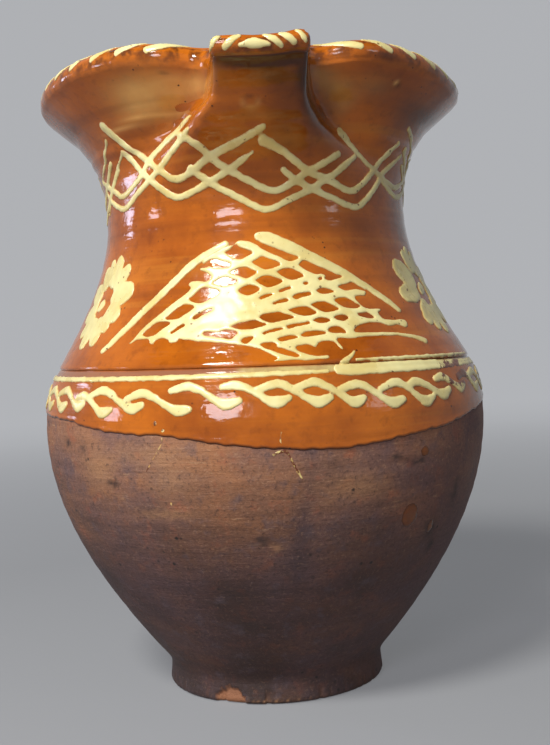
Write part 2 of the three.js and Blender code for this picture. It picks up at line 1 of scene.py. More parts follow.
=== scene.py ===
# %% [markdown]
# # A slip-trailed earthenware jug
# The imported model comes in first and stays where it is. Its box is kept, because everything that is
# made below has to fill the same space. All shapes are worked out in millimetres, like the potter's
# own measures, and turned into metres only when a mesh is made.

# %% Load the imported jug
import math

import bpy
import numpy as np
from mathutils import Matrix, Vector


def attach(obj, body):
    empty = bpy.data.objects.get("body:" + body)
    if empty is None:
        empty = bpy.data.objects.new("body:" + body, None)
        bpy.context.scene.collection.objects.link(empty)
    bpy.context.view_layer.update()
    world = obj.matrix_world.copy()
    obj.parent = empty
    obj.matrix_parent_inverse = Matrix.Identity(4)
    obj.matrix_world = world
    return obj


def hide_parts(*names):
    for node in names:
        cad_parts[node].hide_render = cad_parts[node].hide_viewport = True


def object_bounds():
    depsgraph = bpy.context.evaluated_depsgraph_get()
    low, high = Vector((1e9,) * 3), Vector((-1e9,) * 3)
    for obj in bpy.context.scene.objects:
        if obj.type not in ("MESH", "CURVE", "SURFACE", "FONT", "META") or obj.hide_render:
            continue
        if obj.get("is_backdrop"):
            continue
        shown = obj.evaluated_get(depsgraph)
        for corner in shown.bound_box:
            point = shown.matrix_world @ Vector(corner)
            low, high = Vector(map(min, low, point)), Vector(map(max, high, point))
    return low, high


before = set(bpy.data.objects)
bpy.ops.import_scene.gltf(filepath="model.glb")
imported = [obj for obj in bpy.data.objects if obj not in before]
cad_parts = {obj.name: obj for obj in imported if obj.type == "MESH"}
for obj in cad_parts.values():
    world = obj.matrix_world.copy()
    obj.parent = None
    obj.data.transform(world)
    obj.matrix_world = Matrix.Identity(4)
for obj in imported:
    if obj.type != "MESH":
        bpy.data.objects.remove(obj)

cad_box = [list(corner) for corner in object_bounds()]
print("packed nodes:", len(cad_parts), "box in m:", np.round(cad_box, 4).tolist())

# %% [markdown]
# ## The thrown wall
# The jug was thrown on a wheel, so one curve turned round the axis gives its wall. A Spin or Screw
# modifier could turn a drawn curve, but the spout, the lip and all the slip on top need the same
# surface again and again. So the curve is a function: height in, radius out, with smooth steps
# through the places where the potter changed the form.

# %% The wall's outline
OUTLINE = np.array([  # height, radius, slope of the radius
    (0.0, 46.6, 0.0),  # foot
    (8.5, 46.0, 0.0),  # waist over the foot
    (19.0, 52.6, 0.82),  # heel
    (112.0, 94.5, 0.0),  # belly
    (139.0, 87.0, -0.62),  # shoulder
    (200.0, 63.9, 0.0),  # neck
    (235.0, 77.2, 0.99),  # knee under the rim
])
BELLY, NECK = OUTLINE[3, 0], OUTLINE[5, 0]


def outline_radius(z):
    heights, radii, slopes = OUTLINE.T
    i = np.clip(np.searchsorted(heights, z, side="right") - 1, 0, len(heights) - 2)
    span = heights[i + 1] - heights[i]
    t = np.clip((z - heights[i]) / span, 0, 1)
    ease = t * t * (3 - 2 * t)
    leave = t * (1 - t) ** 2 * span * slopes[i]
    arrive = t * t * (t - 1) * span * slopes[i + 1]
    return radii[i] * (1 - ease) + radii[i + 1] * ease + leave + arrive


print("belly width %.0f mm, neck width %.0f mm" % (2 * outline_radius(BELLY), 2 * outline_radius(NECK)))

# %% [markdown]
# ## Marks of the hand
# No thrown wall is perfect. Fingers leave shallow rings, the wheel leaves it a little out of round,
# and a tool cut a line round the shoulder. These are small changes of the radius, made from a few
# sine waves with fixed phases, so every run gives the same jug.

# %% Rings, roundness and the shoulder groove
GROOVE_HEIGHT, GROOVE_TILT = 137.1, 1.1
OVAL, THREE_SIDED = 0.35, 0.2  # how far the wall is out of round
RING_DEPTH, FLARE_RING_DEPTH = 0.10, 0.24
LINE_DEPTH, HOLLOW_DEPTH = 0.95, 0.55  # the line that the tool cut, and the hollow under it


def smooth(value, low, high):
    """Rises from 0 at low to 1 at high, with soft ends."""
    t = np.clip((value - low) / (high - low), 0, 1)
    return t * t * (3 - 2 * t)


def waves(position, steps, seed):
    """The mean of sine waves of these lengths, with phases drawn from the seed."""
    draw = np.random.default_rng(seed)
    total = np.zeros_like(position, dtype=float)
    for step in steps:
        total = total + np.sin(position * 2 * np.pi / step + draw.uniform(0, 2 * np.pi))
    return total / len(steps)


def groove_height(angle):
    return GROOVE_HEIGHT - GROOVE_TILT * np.sin(np.radians(angle))


def hand_marks(angle, z):
    """What the radius gains or loses at a place."""
    around = np.radians(angle)
    out_of_round = OVAL * np.sin(2 * around + 0.6) + THREE_SIDED * np.sin(3 * around + 2.1)
    fade = smooth(z, 12, 40)
    rings = RING_DEPTH * waves(z + 0.8 * np.sin(around), (5.3, 7.9, 12.7), 3) * fade
    flare_rings = FLARE_RING_DEPTH * waves(z + 0.6 * np.sin(around + 1), (4.1, 6.3), 5) * smooth(z, 205, 222)
    cut = groove_height(angle) - z
    line = -LINE_DEPTH * np.exp(-((cut - 0.6) / 0.55) ** 2)
    hollow = -HOLLOW_DEPTH * smooth(cut, 0.2, 1.4) * (1 - smooth(cut, 2.6, 4.2))
    return out_of_round * fade + rings + flare_rings + line + hollow


print("ring depth up to %.2f mm" % np.ptp(hand_marks(np.zeros(200), np.linspace(150, 190, 200))))

# %% [markdown]
# ## The way up the wall
# Slip and glaze need an address on the jug: an angle round it, and a way up it. Up to the knee the
# way is simply the height. From there it runs on along the flare and round the lip, measured in
# millimetres of clay, so a dash on the rim is drawn the same way as a line on the belly.

# %% Flare and lip
RIM_RADIUS, RIM_HEIGHT, LIP = 89.0, 250.0, 3.5
KNEE = OUTLINE[-1, :2][::-1]  # radius, height
LIP_CENTRE = np.array([RIM_RADIUS - LIP, RIM_HEIGHT - LIP])
flare = LIP_CENTRE - KNEE
LIP_START = math.atan2(flare[1], flare[0]) - math.pi + math.acos(LIP / np.hypot(*flare))
FLARE_END = LIP_CENTRE + LIP * np.array([math.cos(LIP_START), math.sin(LIP_START)])
WAY_KNEE = KNEE[1]
WAY_LIP = WAY_KNEE + float(np.hypot(*(FLARE_END - KNEE)))
WAY_END = WAY_LIP + math.pi * LIP
print("the way up ends inside the lip at %.1f mm" % WAY_END)

# %% Places on the thrown wall
SPOUT_NEAR, SPOUT_FAR = 17, 23  # from the middle, where the spout's lip passes into the rim's
SPOUT_LIP, SPOUT_ROLL, SPOUT_SINK = 2.9, 3.0, 0.9  # it is slimmer, further out and lower than the rim's
LIP_UNDERCUT, ROLL_OVERHANG = math.radians(44), 0.6  # it curls further under
COVE, COVE_AT, COVE_SPREAD = 0.3, 0.8, 0.17  # hollow below it, its place and spread as shares of the flare
LIP_WEAR = 0.18


def spout_share(angle):
    across = np.abs(RIM_RADIUS * np.sin(np.radians(angle)))
    return np.where(np.cos(np.radians(angle)) > 0, 1 - smooth(across, SPOUT_NEAR, SPOUT_FAR), 0.0)


def wall_spot(angle, way):
    """Radius, height and depth in the wall at an address outside the jug."""
    angle, way = np.broadcast_arrays(np.asarray(angle, float), np.asarray(way, float))
    low = np.minimum(way, WAY_KNEE)
    radius = outline_radius(low) + hand_marks(angle, low)
    beak = spout_share(angle)
    size = LIP + (SPOUT_LIP - LIP) * beak
    centre_r, centre_z = LIP_CENTRE[0] + SPOUT_ROLL * beak, LIP_CENTRE[1] - SPOUT_SINK * beak
    start = LIP_START - LIP_UNDERCUT * beak
    t = np.clip((way - WAY_KNEE) / (WAY_LIP - WAY_KNEE), 0, 1)
    cove = COVE * beak * np.exp(-(((t - COVE_AT) / COVE_SPREAD) ** 2)) * (t > 0)
    r = radius + t * (centre_r + size * np.cos(start) - KNEE[0]) - cove
    z = low + t * (centre_z + size * np.sin(start) - KNEE[1])
    share = np.clip((way - WAY_LIP) / (WAY_END - WAY_LIP), 0, 1)
    turn = start + share * (LIP_START + math.pi - start)
    worn = LIP_WEAR * waves(angle, (7.3, 17.0, 31.0), 9) * smooth(share, 0, 0.1)
    on_lip = way > WAY_LIP
    r = np.where(on_lip, centre_r + (size + worn) * np.cos(turn), r)
    z = np.where(on_lip, centre_z + (size + worn) * np.sin(turn), z)
    under = ROLL_OVERHANG * beak
    lowest = SPOUT_LIP * (1 - np.cos(LIP_START - LIP_UNDERCUT))
    rolled = size * (1 - np.cos(turn)) * np.where(turn < 0, under / lowest, 1)
    inset = np.where(on_lip, rolled, under * smooth(t, 0, 0.9))
    return r, z, inset


print("the knee is %.1f mm from the axis at the back" % wall_spot(180, WAY_KNEE)[0])

# %% [markdown]
# ## The pulled spout
# While the clay was soft the potter pushed a finger out between two others. The front of the mouth
# moved forward into a beak, its sides stayed nearly straight, and the rim next to it was pinched in.
# A Lattice or a sculpt brush could do this to a mesh. Here the pull is a function of the place, so
# clay, glaze and slip all follow the same beak.

# %% Pulling the spout
WALL = 5.0
SPOUT_REACH, SPOUT_DROP = 21.0, 55.0  # forward at the rim, and down to where the pull ends
FULLNESS, FULL_HEIGHT, FULL_SPREAD = 5.0, 227, 9  # the beak bulges below its lip
BEAK_HALF = np.array([  # height, half width
    (195, 46), (205, 40), (212, 33), (222, 24.8), (228, 20.8), (232, 19.0), (236, 18.2), (243, 18.4),
    (260, 18.6),
])
LEFT_WIDER = np.array([  # height, what is added to the half width on the left
    (195, 4), (212, 6), (222, 5), (227, 4.2), (230, 2.2), (233, 0.5), (236, 0),
])
BEAK_SIDE = np.array([  # height, half the width of the slope at the beak's side
    (195, 22), (212, 14), (225, 7.0), (235, 3.4), (241, 2.4), (260, 2.2),
])
RIGHT_SOFTER, BEAK_SHIFT = 1.15, 0.7  # the right slope is wider, and the beak sits a little to the right
PRESS, PRESS_AT, PRESS_SPREAD = 6.4, 1.5, 0.36  # the fingers' press: depth, place and spread in half widths
PRESS_LEFT, PRESS_RIGHT = 0.9, 1.05
PINCH, PINCH_REACH = 5.2, 26  # the rim beside the beak was pinched in
FRONT = 48  # so far in front of the axis the pull is full
CORNER, CORNER_AT, CORNER_SPREAD = 0.9, 13, 4  # the lip's right corner stands up
DENT, DENT_X, DENT_Z, DENT_WIDE, DENT_HIGH = 0.9, -2.5, 226.0, 3.6, 3.2  # in front, below the lip
RIM_LIFT = np.array([  # angle, height
    (-180, 0), (-105, 0), (-88, 1.2), (-73, 3.0), (-59, 4.6), (-50, 5.6), (-40, 5.9), (-31, 5.6),
    (-22, 4.2), (-15, 2.0), (-10.5, -0.4), (0, -1.3), (10.5, 0.2), (15, 1.6), (20.5, 3.2), (29, 4.1),
    (39, 3.5), (52, 1.6), (66, -1.0), (80, -1.0), (100, 0), (180, 0),
])


def signed(angle):
    return (angle + 180) % 360 - 180


def rim_lift(angle):
    return np.mean([np.interp(signed(angle + d), *RIM_LIFT.T) for d in (-2, -1, 0, 1, 2)], axis=0)


def pulled(angle, r, z, inset):
    """Where a place of the thrown wall went when the spout was pulled."""
    a = np.radians(angle)
    x, y = r * np.sin(a), -r * np.cos(a)
    rise = np.clip((z - (RIM_HEIGHT - SPOUT_DROP)) / SPOUT_DROP, 0, 1)
    reach = SPOUT_REACH * smooth(rise, 0, 1) + FULLNESS * np.exp(-(((z - FULL_HEIGHT) / FULL_SPREAD) ** 2))
    outer_half = np.interp(z, *BEAK_HALF.T) + np.where(x < 0, np.interp(z, *LEFT_WIDER.T), 0)
    side = np.interp(z, *BEAK_SIDE.T) * np.where(x > 0, RIGHT_SOFTER, 1.0)
    across = np.abs(x - BEAK_SHIFT * rise)
    half = outer_half - inset
    beak = 1 - smooth(across, half - side, half + side)
    front = smooth(-y, 0, FRONT)
    beside = np.exp(-(((across / outer_half - PRESS_AT) / PRESS_SPREAD) ** 2))
    press = PRESS * np.where(x > 0, PRESS_RIGHT, PRESS_LEFT) * rise**1.4 * beside * front
    size = np.maximum(np.hypot(x, y), 1e-6)
    x, y = x - x / size * press, y - y / size * press
    pinch = PINCH * rise**5 * (1 - beak) * (1 - smooth(across, half + side, half + PINCH_REACH)) * front
    x = x - np.sign(x) * pinch
    y = y - reach * beak * (y < 0)
    lift = rim_lift(angle) * rise**2.2
    corner = CORNER * rise**4 * np.exp(-(((x - CORNER_AT) / CORNER_SPREAD) ** 2)) * front
    outside = (y < 0) * (inset < WALL - 1)
    dent = DENT * np.exp(-(((x - DENT_X) / DENT_WIDE) ** 2) - ((z - DENT_Z) / DENT_HIGH) ** 2) * outside
    return np.stack([x, y + dent, z + lift + corner], -1)


print("beside the spout the rim rises by up to %.1f mm" % RIM_LIFT[:, 1].max())

# %% Points on the jug
def on_wall(angle, way):
    return pulled(angle, *wall_spot(angle, way))


def unit(arrows):
    return arrows / np.maximum(np.linalg.norm(arrows, axis=-1, keepdims=True), 1e-9)


def on_jug(angle, way, lift, step=0.05):
    """Points at an address, raised along the way that the surface faces there."""
    sideways = on_wall(angle + step, way) - on_wall(angle - step, way)
    upwards = on_wall(angle, way + step) - on_wall(angle, way - step)
    return on_wall(angle, way) + unit(np.cross(sideways, upwards)) * lift[..., None]


print("spout tip reaches %.1f mm from the axis" % -on_wall(np.array(0.0), np.array(WAY_LIP + 5))[1])

# %% [markdown]
# ## From rings of points to a mesh
# Every wall below is a stack of rings. One helper turns the rings into a closed mesh: neighbouring
# rings are joined by quads, and the first and last ring close either onto a point in their middle or
# onto each other. Columns crowd towards the spout, where the form changes fast.

# %% Helper: rings to a mesh
MM = 0.001
CROWD = 0.5  # at 0 the columns would be evenly spaced


def crowded_angles(count):
    turn = np.linspace(0, 2 * np.pi, count, endpoint=False)
    return signed(np.degrees(turn - CROWD * np.sin(turn)))


def make_mesh(name, points, faces, marks=None):
    mesh = bpy.data.meshes.new(name)
    mesh.from_pydata((np.asarray(points) * MM).tolist(), [], faces)
    mesh.validate()
    for mark, values in (marks or {}).items():
        layer = mesh.attributes.new(mark, "FLOAT", "POINT")
        layer.data.foreach_set("value", np.asarray(values, np.float32))
    mesh.shade_smooth()
    piece = bpy.data.objects.new(name, mesh)
    bpy.context.scene.collection.objects.link(piece)
    print("%s: %d faces" % (name, len(mesh.polygons)))
    return piece


def ring_faces(rows, columns, endless):
    j, i = np.meshgrid(np.arange(rows if endless else rows - 1), np.arange(columns), indexing="ij")
    up, right = (j + 1) % rows, (i + 1) % columns
    corners = [j * columns + i, j * columns + right, up * columns + right, up * columns + i]
    return np.stack(corners, -1).reshape(-1, 4).tolist()


def make_turned(name, rings, poles=None, marks=None):
    """Rings of points, closed onto two poles or, without poles, the last ring onto the first."""
    rows, columns = rings.shape[:2]
    points = rings.reshape(-1, 3)
    faces = ring_faces(rows, columns, poles is None)
    marks = {mark: np.ravel(values) for mark, values in (marks or {}).items()}
    if poles is not None:
        low, high = len(points), len(points) + 1
        points = np.vstack([points, poles])
        top = (rows - 1) * columns
        faces += [[low, (i + 1) % columns, i] for i in range(columns)]
        faces += [[high, top + i, top + (i + 1) % columns] for i in range(columns)]
        marks = {mark: np.concatenate([values, [0, 0]]) for mark, values in marks.items()}
    return make_mesh(name, points, faces, marks)


# %% [markdown]
# ## The inside of the wall
# The hand inside the pot followed the hand outside, so the inside is the outside set back by the
# wall. It starts where the lip rolls in, runs down past the neck and ends in a round corner at the
# floor. Nobody sees it in the front view, but a jug is looked into.

# %% Stations down the inside
FLOOR, FLOOR_FILLET = 9.0, 12.0


def inside_stations(count, step=0.05):
    """Radius, height and depth in the wall, from the lip down to the middle of the floor."""
    end = LIP_START + math.pi
    lip_end = LIP_CENTRE + LIP * np.array([math.cos(end), math.sin(end)])
    inner_knee = KNEE + (lip_end - FLARE_END)
    knee = np.array([[*(lip_end + (inner_knee - lip_end) * t), 2 * LIP] for t in (0.35, 0.7, 1.0)])
    z = np.linspace(inner_knee[1] - 12, FLOOR + FLOOR_FILLET, count)
    slope = (outline_radius(z + step) - outline_radius(z - step)) / (2 * step)
    wall_r = outline_radius(z) - WALL * np.hypot(1, slope)
    turn = np.linspace(0, np.pi / 2, 9)[1:]
    corner_r = wall_r[-1] - FLOOR_FILLET * (1 - np.cos(turn))
    floor_r = np.linspace(corner_r[-1], 3, 8)[1:]
    r = np.concatenate([wall_r, corner_r, floor_r])
    z = np.concatenate([z, FLOOR + FLOOR_FILLET * (1 - np.sin(turn)), np.full_like(floor_r, FLOOR)])
    return np.vstack([knee, np.stack([r, z, np.full_like(r, WALL)], -1)])


INSIDE = inside_stations(30)
print("holds about %.1f litres" % (np.pi * np.trapz(INSIDE[::-1, 0] ** 2, INSIDE[::-1, 1]) * 1e-6))

# %% [markdown]
# ## The clay body
# Below the glaze the bare fired clay shows: matt, mauve-brown, scraped by the turning tool. The body
# runs on under the glaze, so rows are fine only where clay shows. Its foot is worn, and a flake has
# broken off the front, so the lowest rows are dented. Marks on the points tell the finish where the
# flake, the wear, the stains, the tan patches and a dark run are.

# %% Marks on the clay
CHIP_ANGLE, CHIP_SIZE = -27, 7.4
STAINS = [  # angle, way, spread of both
    (44.1, 70.1, 2.6, 4.5), (28.0, 101.1, 1.3, 0.9), (33.9, 97.9, 1.9, 1.0), (31.0, 99.8, 1.0, 0.8),
    (34.6, 98.2, 1.2, 0.9), (-4.2, 73.9, 1.9, 1.7), (52.0, 84.0, 1.2, 5.0), (47.5, 63.0, 1.6, 3.2),
    (-50.0, 108.0, 1.2, 1.2), (-40.5, 95.5, 2.0, 1.2), (-57, 110, 1.0, 1.6),
]
TAN_MARKS = [
    (-25.0, 98.0, 5.0, 6.0), (-0.5, 70.4, 1.7, 1.4), (-31.0, 106.0, 9.0, 4.5), (-44.0, 101.0, 6.0, 7.0),
    (-27.5, 84.5, 7.0, 1.8), (-8.0, 0.2, 12.0, 1.3), (8.0, 0.2, 14.0, 0.9), (18.0, 92.0, 7.0, 5.0),
]
DARK_RUN = (5.6, 78, 2.1, 30)


def near_spot(angle, way, at_angle, at_way, width, height, strength=1.0):
    """The strength in the middle of a spot, fading to nothing round it."""
    return strength * np.exp(-(((angle - at_angle) / width) ** 2) - ((way - at_way) / height) ** 2)


def spotted(angle, way, spots):
    return np.clip(sum(near_spot(angle, way, *spot) for spot in spots), 0, 1)


def foot_chip(angle, way):
    """1 inside the flake at the front of the foot, with a ragged edge."""
    ragged = 0.7 * waves(angle + 0.7 * way, (2.9, 5.3, 9.0), 21)
    ragged = ragged + 0.5 * waves(way - 0.3 * angle, (2.3, 4.1), 22)
    inside = CHIP_SIZE - np.hypot((angle - CHIP_ANGLE) * 0.8, np.maximum(way, 0) * 1.02) + ragged
    return smooth(inside, 0, 1.1) * (way < 30)


def foot_wear(angle, way):
    return smooth(waves(angle, (4.7, 8.3, 13.1, 29.0), 31), 0.15, 0.8) * (1 - smooth(way, 3, 7))


def clay_marks(angle, way):
    shaken = angle + 0.9 * waves(way + angle, (3.7, 6.1), 33), way + 0.9 * waves(way - angle, (2.9, 5.3), 34)
    crooked = angle - 0.045 * (way - 80) + 0.5 * np.sin(way / 9)
    return {"chip": foot_chip(angle, way), "worn": foot_wear(angle, way),
            "stain": spotted(*shaken, STAINS), "tan": spotted(*shaken, TAN_MARKS),
            "run": near_spot(crooked, way, *DARK_RUN)}


print("stains and tan patches:", len(STAINS) + len(TAN_MARKS))

# %% Edge of the glaze
EDGE = np.array([  # angle, way
    (-180, 122), (-120, 121), (-75, 119.5), (-55, 118.2), (-48, 116), (-40, 114.5), (-32, 113.5),
    (-26, 113.6), (-19, 111.7), (-10, 109.2), (1, 107.2), (14, 105.8), (23, 107), (34, 109), (45, 110.4),
    (52, 112.6), (75, 118), (120, 121), (180, 122),
])


def glaze_edge(angle):
    angle = signed(np.asarray(angle, float))
    base = np.mean([np.interp(angle + d, *EDGE.T) for d in (-3, -1.5, 0, 1.5, 3)], axis=0)
    return base + 0.35 * waves(angle, (3.4, 5.1, 9.3), 41)


print("the glaze runs down to %.0f mm in front" % glaze_edge(np.arange(-60, 60)).min())

# %% Clay body
CLAY_COLUMNS = 400
CHIP_DEPTH, WEAR_DEPTH = 1.2, 0.7
SETBACK = 0.4  # under the glaze
UNDERSIDE = ((10, 0), (30, 0), (42, 0), (44.6, 0), (46.0, 0.6))  # radius, height


def clay_rows():
    foot = np.arange(1.6, 14, 0.75)
    shown = np.arange(14.5, 124, 0.9)
    hidden = np.concatenate([np.linspace(126, 198, 14), np.linspace(200, WAY_LIP, 28)])
    lip = np.linspace(WAY_LIP, WAY_END, 10)[1:]
    return np.concatenate([foot, shown, hidden, lip])


def make_clay_body():
    angles = crowded_angles(CLAY_COLUMNS)
    angle, way = np.meshgrid(angles, clay_rows())
    r, z, inset = wall_spot(angle, way)
    marks = clay_marks(angle, way)
    lost = CHIP_DEPTH * marks["chip"] + WEAR_DEPTH * marks["worn"]
    covered = smooth(way - glaze_edge(angle), 2, 6) * (way < WAY_LIP)
    outside = pulled(angle, r - lost - SETBACK * covered, z, inset)
    lining = np.zeros((len(INSIDE), CLAY_COLUMNS))
    inside = pulled(lining + angles, *[lining + column[:, None] for column in INSIDE.T])
    bottom = []
    for radius, height in UNDERSIDE:
        ring_r = radius - lost[0] * smooth(radius, 30, 44)
        bottom.append(pulled(angles, ring_r, np.full_like(angles, height), np.zeros_like(angles)))
    for name, values in marks.items():
        under = np.zeros((len(UNDERSIDE), CLAY_COLUMNS)) + (values[0] if name in ("chip", "worn") else 0)
        marks[name] = np.concatenate([under, values, lining])
    rings = np.concatenate([np.array(bottom), outside, inside])
    return make_turned("clay_body", rings, [(0, 0, 0), (0, 0, FLOOR)], marks)


clay_body = make_clay_body()

# %% [markdown]
# ## The glaze outside
# The jug was dipped upside down into glaze, which ran to a wavy edge on the belly and fired glossy
# honey-brown. It is a real coat of about half a millimetre: a skin of its own over the clay, with a
# rounded lower edge that catches the light. A Solidify modifier could thicken a copy of the clay, but
# then the edge would be a flat cut.

# %% Thin and thick glaze, painted light and painted shade
HEM_ROUND = 0.9  # the hem is round over this way
# Thin glaze and painted light: these spots brighten the lit valleys beside the spout, paint highlight streaks
# on the flare's left, and paint a highlight in the crescent under the dent.
THIN_GLAZE_AND_PAINTED_LIGHT = [  # angle, way, spread of both, strength
    (-32, 238, 11, 7, 1.0), (-20, 241, 7, 5, 1.0), (-34, 231, 10, 0.8, 0.8), (-36, 233.6, 9, 0.6, 0.6),
    (-47, 229, 9, 0.7, 0.7), (17.5, 245, 3, 3, 0.5), (20, 241, 3, 4, 0.6), (23.5, 237, 3, 4, 0.6),
    (27, 232, 3, 4, 0.45), (32, 239, 8, 5, 0.2), (40, 242, 0.7, 1.0, 1.0), (-4.6, 230.2, 0.9, 1.1, 0.35),
    (-0.4, 230.2, 0.9, 1.1, 0.35), (-2.5, 228.9, 1.8, 0.8, 0.4),
]
# Pooled glaze and painted shade: most of these spots paint the shade under the spout's lip, down its right
# flank, round the dent and on both sides of the flare.
THICK_GLAZE_AND_PAINTED_SHADE = [
    (10.8, 242, 2.2, 5, 0.7), (12, 236, 2.6, 5, 0.7), (15, 229, 5, 5, 0.6), (20, 225, 6, 6, 0.5),
    (25, 214, 8, 6, 0.3), (2, 239, 6, 4, 0.35), (6.5, 234, 5, 10, 0.6), (-4, 244.5, 7, 2.2, 0.8),
    (5, 244.5, 7, 2.2, 0.8), (10, 217, 9, 7, 0.4), (60, 234, 13, 6, 0.7), (78, 236, 12, 6, 0.6),
    (-8, 247.6, 5, 2.2, 0.8), (0, 247.6, 6, 2.2, 0.9), (8, 247.6, 5, 2.2, 0.9),
    (-2.5, 231.8, 1.6, 0.7, 0.5), (-78, 236, 14, 5, 0.5), (34, 250.8, 2.6, 1.5, 0.7),
    (41.3, 241.2, 1.0, 1.4, 0.6), (-24, 245.6, 1.1, 0.6, 0.5),
]


def glaze_marks(angle, way, above):
    cut = groove_height(angle) - way
    washed = smooth(cut, 0.9, 1.5) * (1 - smooth(cut, 3.0, 3.9)) * (1 - smooth(np.abs(angle), 75, 105))
    return {"hem": np.exp(-above / HEM_ROUND), "lip": smooth(way, WAY_LIP - 1, WAY_LIP + 4),
            # the pooled places are pooled glaze and painted shade
            # the thin places are thin glaze and painted light
            "thin_and_painted_light": spotted(angle, way, THIN_GLAZE_AND_PAINTED_LIGHT), "pooled": spotted(angle, way, THICK_GLAZE_AND_PAINTED_SHADE),
            # the cut place is the tool's groove, darkened as pooled glaze and painted shade
            "cut": np.exp(-(((cut - 0.55) / 0.42) ** 2)), "wash": washed,
            "wash_cream": washed * smooth(angle, -9, -6)}


print("thin and thick places:", len(THIN_GLAZE_AND_PAINTED_LIGHT) + len(THICK_GLAZE_AND_PAINTED_SHADE))

# %% Outer glaze
GLAZE, GLAZE_COLUMNS = 0.5, 430
BEAD, SUNK = 0.16, 0.2  # height of the bead along the hem, and depth of the coat's underside
HEM_ROWS = np.array([0, 0.25, 0.55, 0.9, 1.4, 2.0, 2.8, 3.8])
FINE_FROM, FINE_TO = 130, 141  # rows are fine round the groove


def make_outer_glaze():
    angles = crowded_angles(GLAZE_COLUMNS)
    edge = glaze_edge(angles)
    hem = edge + HEM_ROWS[:, None]
    below = hem[-1] + (FINE_FROM - hem[-1]) * np.linspace(0, 1, 15)[1:, None]
    over_lip = WAY_LIP + 0.55 * (WAY_END - WAY_LIP)
    level = np.concatenate([np.linspace(FINE_FROM, FINE_TO, 38)[1:], np.linspace(FINE_TO, WAY_KNEE, 95)[1:],
                            np.linspace(WAY_KNEE, over_lip, 26)[1:]])
    way = np.concatenate([hem, below, np.broadcast_to(level[:, None], (len(level), len(angles)))])
    angle = np.broadcast_to(angles, way.shape)
    above = way - edge
    skin = GLAZE * np.sqrt(np.clip(above / HEM_ROUND, 0, 1)) + BEAD * np.exp(-((above - 1.0) / 0.7) ** 2)
    back = np.concatenate([np.arange(len(way) - 1, len(HEM_ROWS), -5), [0]])  # coarser rows underneath
    under = np.zeros((len(back), len(angles)))
    rings = [on_jug(angle, way, skin), on_jug(angle[back], way[back], under - SUNK)]
    marks = {name: np.concatenate([values, under]) for name, values in glaze_marks(angle, way, above).items()}
    return make_turned("honey_glaze_outside", np.concatenate(rings), None, marks)


outer_glaze = make_outer_glaze()

# %% [markdown]
# ## The glaze inside
# The inside was glazed too, so that the jug holds water. This coat starts on top of the lip, just
# under the edge of the outer one, and lines the whole hollow.

# %% Inner glaze
LINING_COLUMNS = 300


def make_inner_glaze():
    angles = crowded_angles(LINING_COLUMNS)
    lip = np.linspace(WAY_LIP + 0.5 * (WAY_END - WAY_LIP), WAY_END, 9)
    stations = np.broadcast_to(INSIDE.T[:, :, None], (3, len(INSIDE), len(angles)))
    outside = wall_spot(*np.meshgrid(angles, lip))
    r, z, inset = (np.concatenate(pair) for pair in zip(outside, stations))
    clay = pulled(np.broadcast_to(angles, r.shape), r, z, inset)
    along = np.gradient(clay, axis=0)
    around = np.roll(clay, -1, axis=1) - np.roll(clay, 1, axis=1)
    out = unit(np.cross(around, along))
    skin = GLAZE * np.minimum(1, np.arange(len(r)) / 3)[:, None, None]
    rings = np.concatenate([(clay - SUNK * out)[::-1], clay + skin * out])
    return make_turned("honey_glaze_inside", rings, [(0, 0, FLOOR - SUNK), (0, 0, FLOOR + GLAZE)])


inner_glaze = make_inner_glaze()

# %% [markdown]
# ## The strap handle
# The handle is hidden behind the jug in the picture, so its form is the usual one: a strap pulled
# from a lump of clay, bowed from under the rim to the shoulder, wider and thicker where it was pressed
# on. It is a loft of squared ovals along a smooth curve, with a finger groove down its back.

# %% Helper: a smooth curve
def smooth_path(knots, count):
    """A curve through all knots, with evenly spaced points."""
    knots = np.asarray(knots, float)
    padded = np.vstack([2 * knots[0] - knots[1], knots, 2 * knots[-1] - knots[-2]])
    t = np.linspace(0, 1, 24, endpoint=False)[:, None]
    parts = []
    for a, b, c, d in zip(padded, padded[1:], padded[2:], padded[3:]):
        bend, twist = 2 * a - 5 * b + 4 * c - d, 3 * b - a - 3 * c + d
        parts.append(0.5 * (2 * b + (c - a) * t + bend * t**2 + twist * t**3))
    fine = np.vstack([*parts, knots[-1:]])
    gone = np.concatenate([[0], np.cumsum(np.linalg.norm(np.diff(fine[:, :2], axis=0), axis=1))])
    even = np.linspace(0, gone[-1], count)
    return np.stack([np.interp(even, gone, column) for column in fine.T], -1)


# %% Handle
HANDLE_WIDTH, HANDLE_THICK, HANDLE_REACH = 30.0, 10.0, 115.9
HANDLE_TOP, HANDLE_FOOT, ROOT_DEPTH = 229.0, 129.0, 5
HANDLE_BOW = ((22, 1.04), (6, 0.94), (0, 0.72), (4, 0.45), (11, 0.2))  # inside the reach, share of height
HANDLE_ROWS, HANDLE_COLUMNS = 110, 72
ROOT_WIDER, PRESSED_WIDER, PRESSED_THICKER = 3.0, 4.0, 2.2
FINGER_GROOVE, RIDGE = 1.7, 0.5


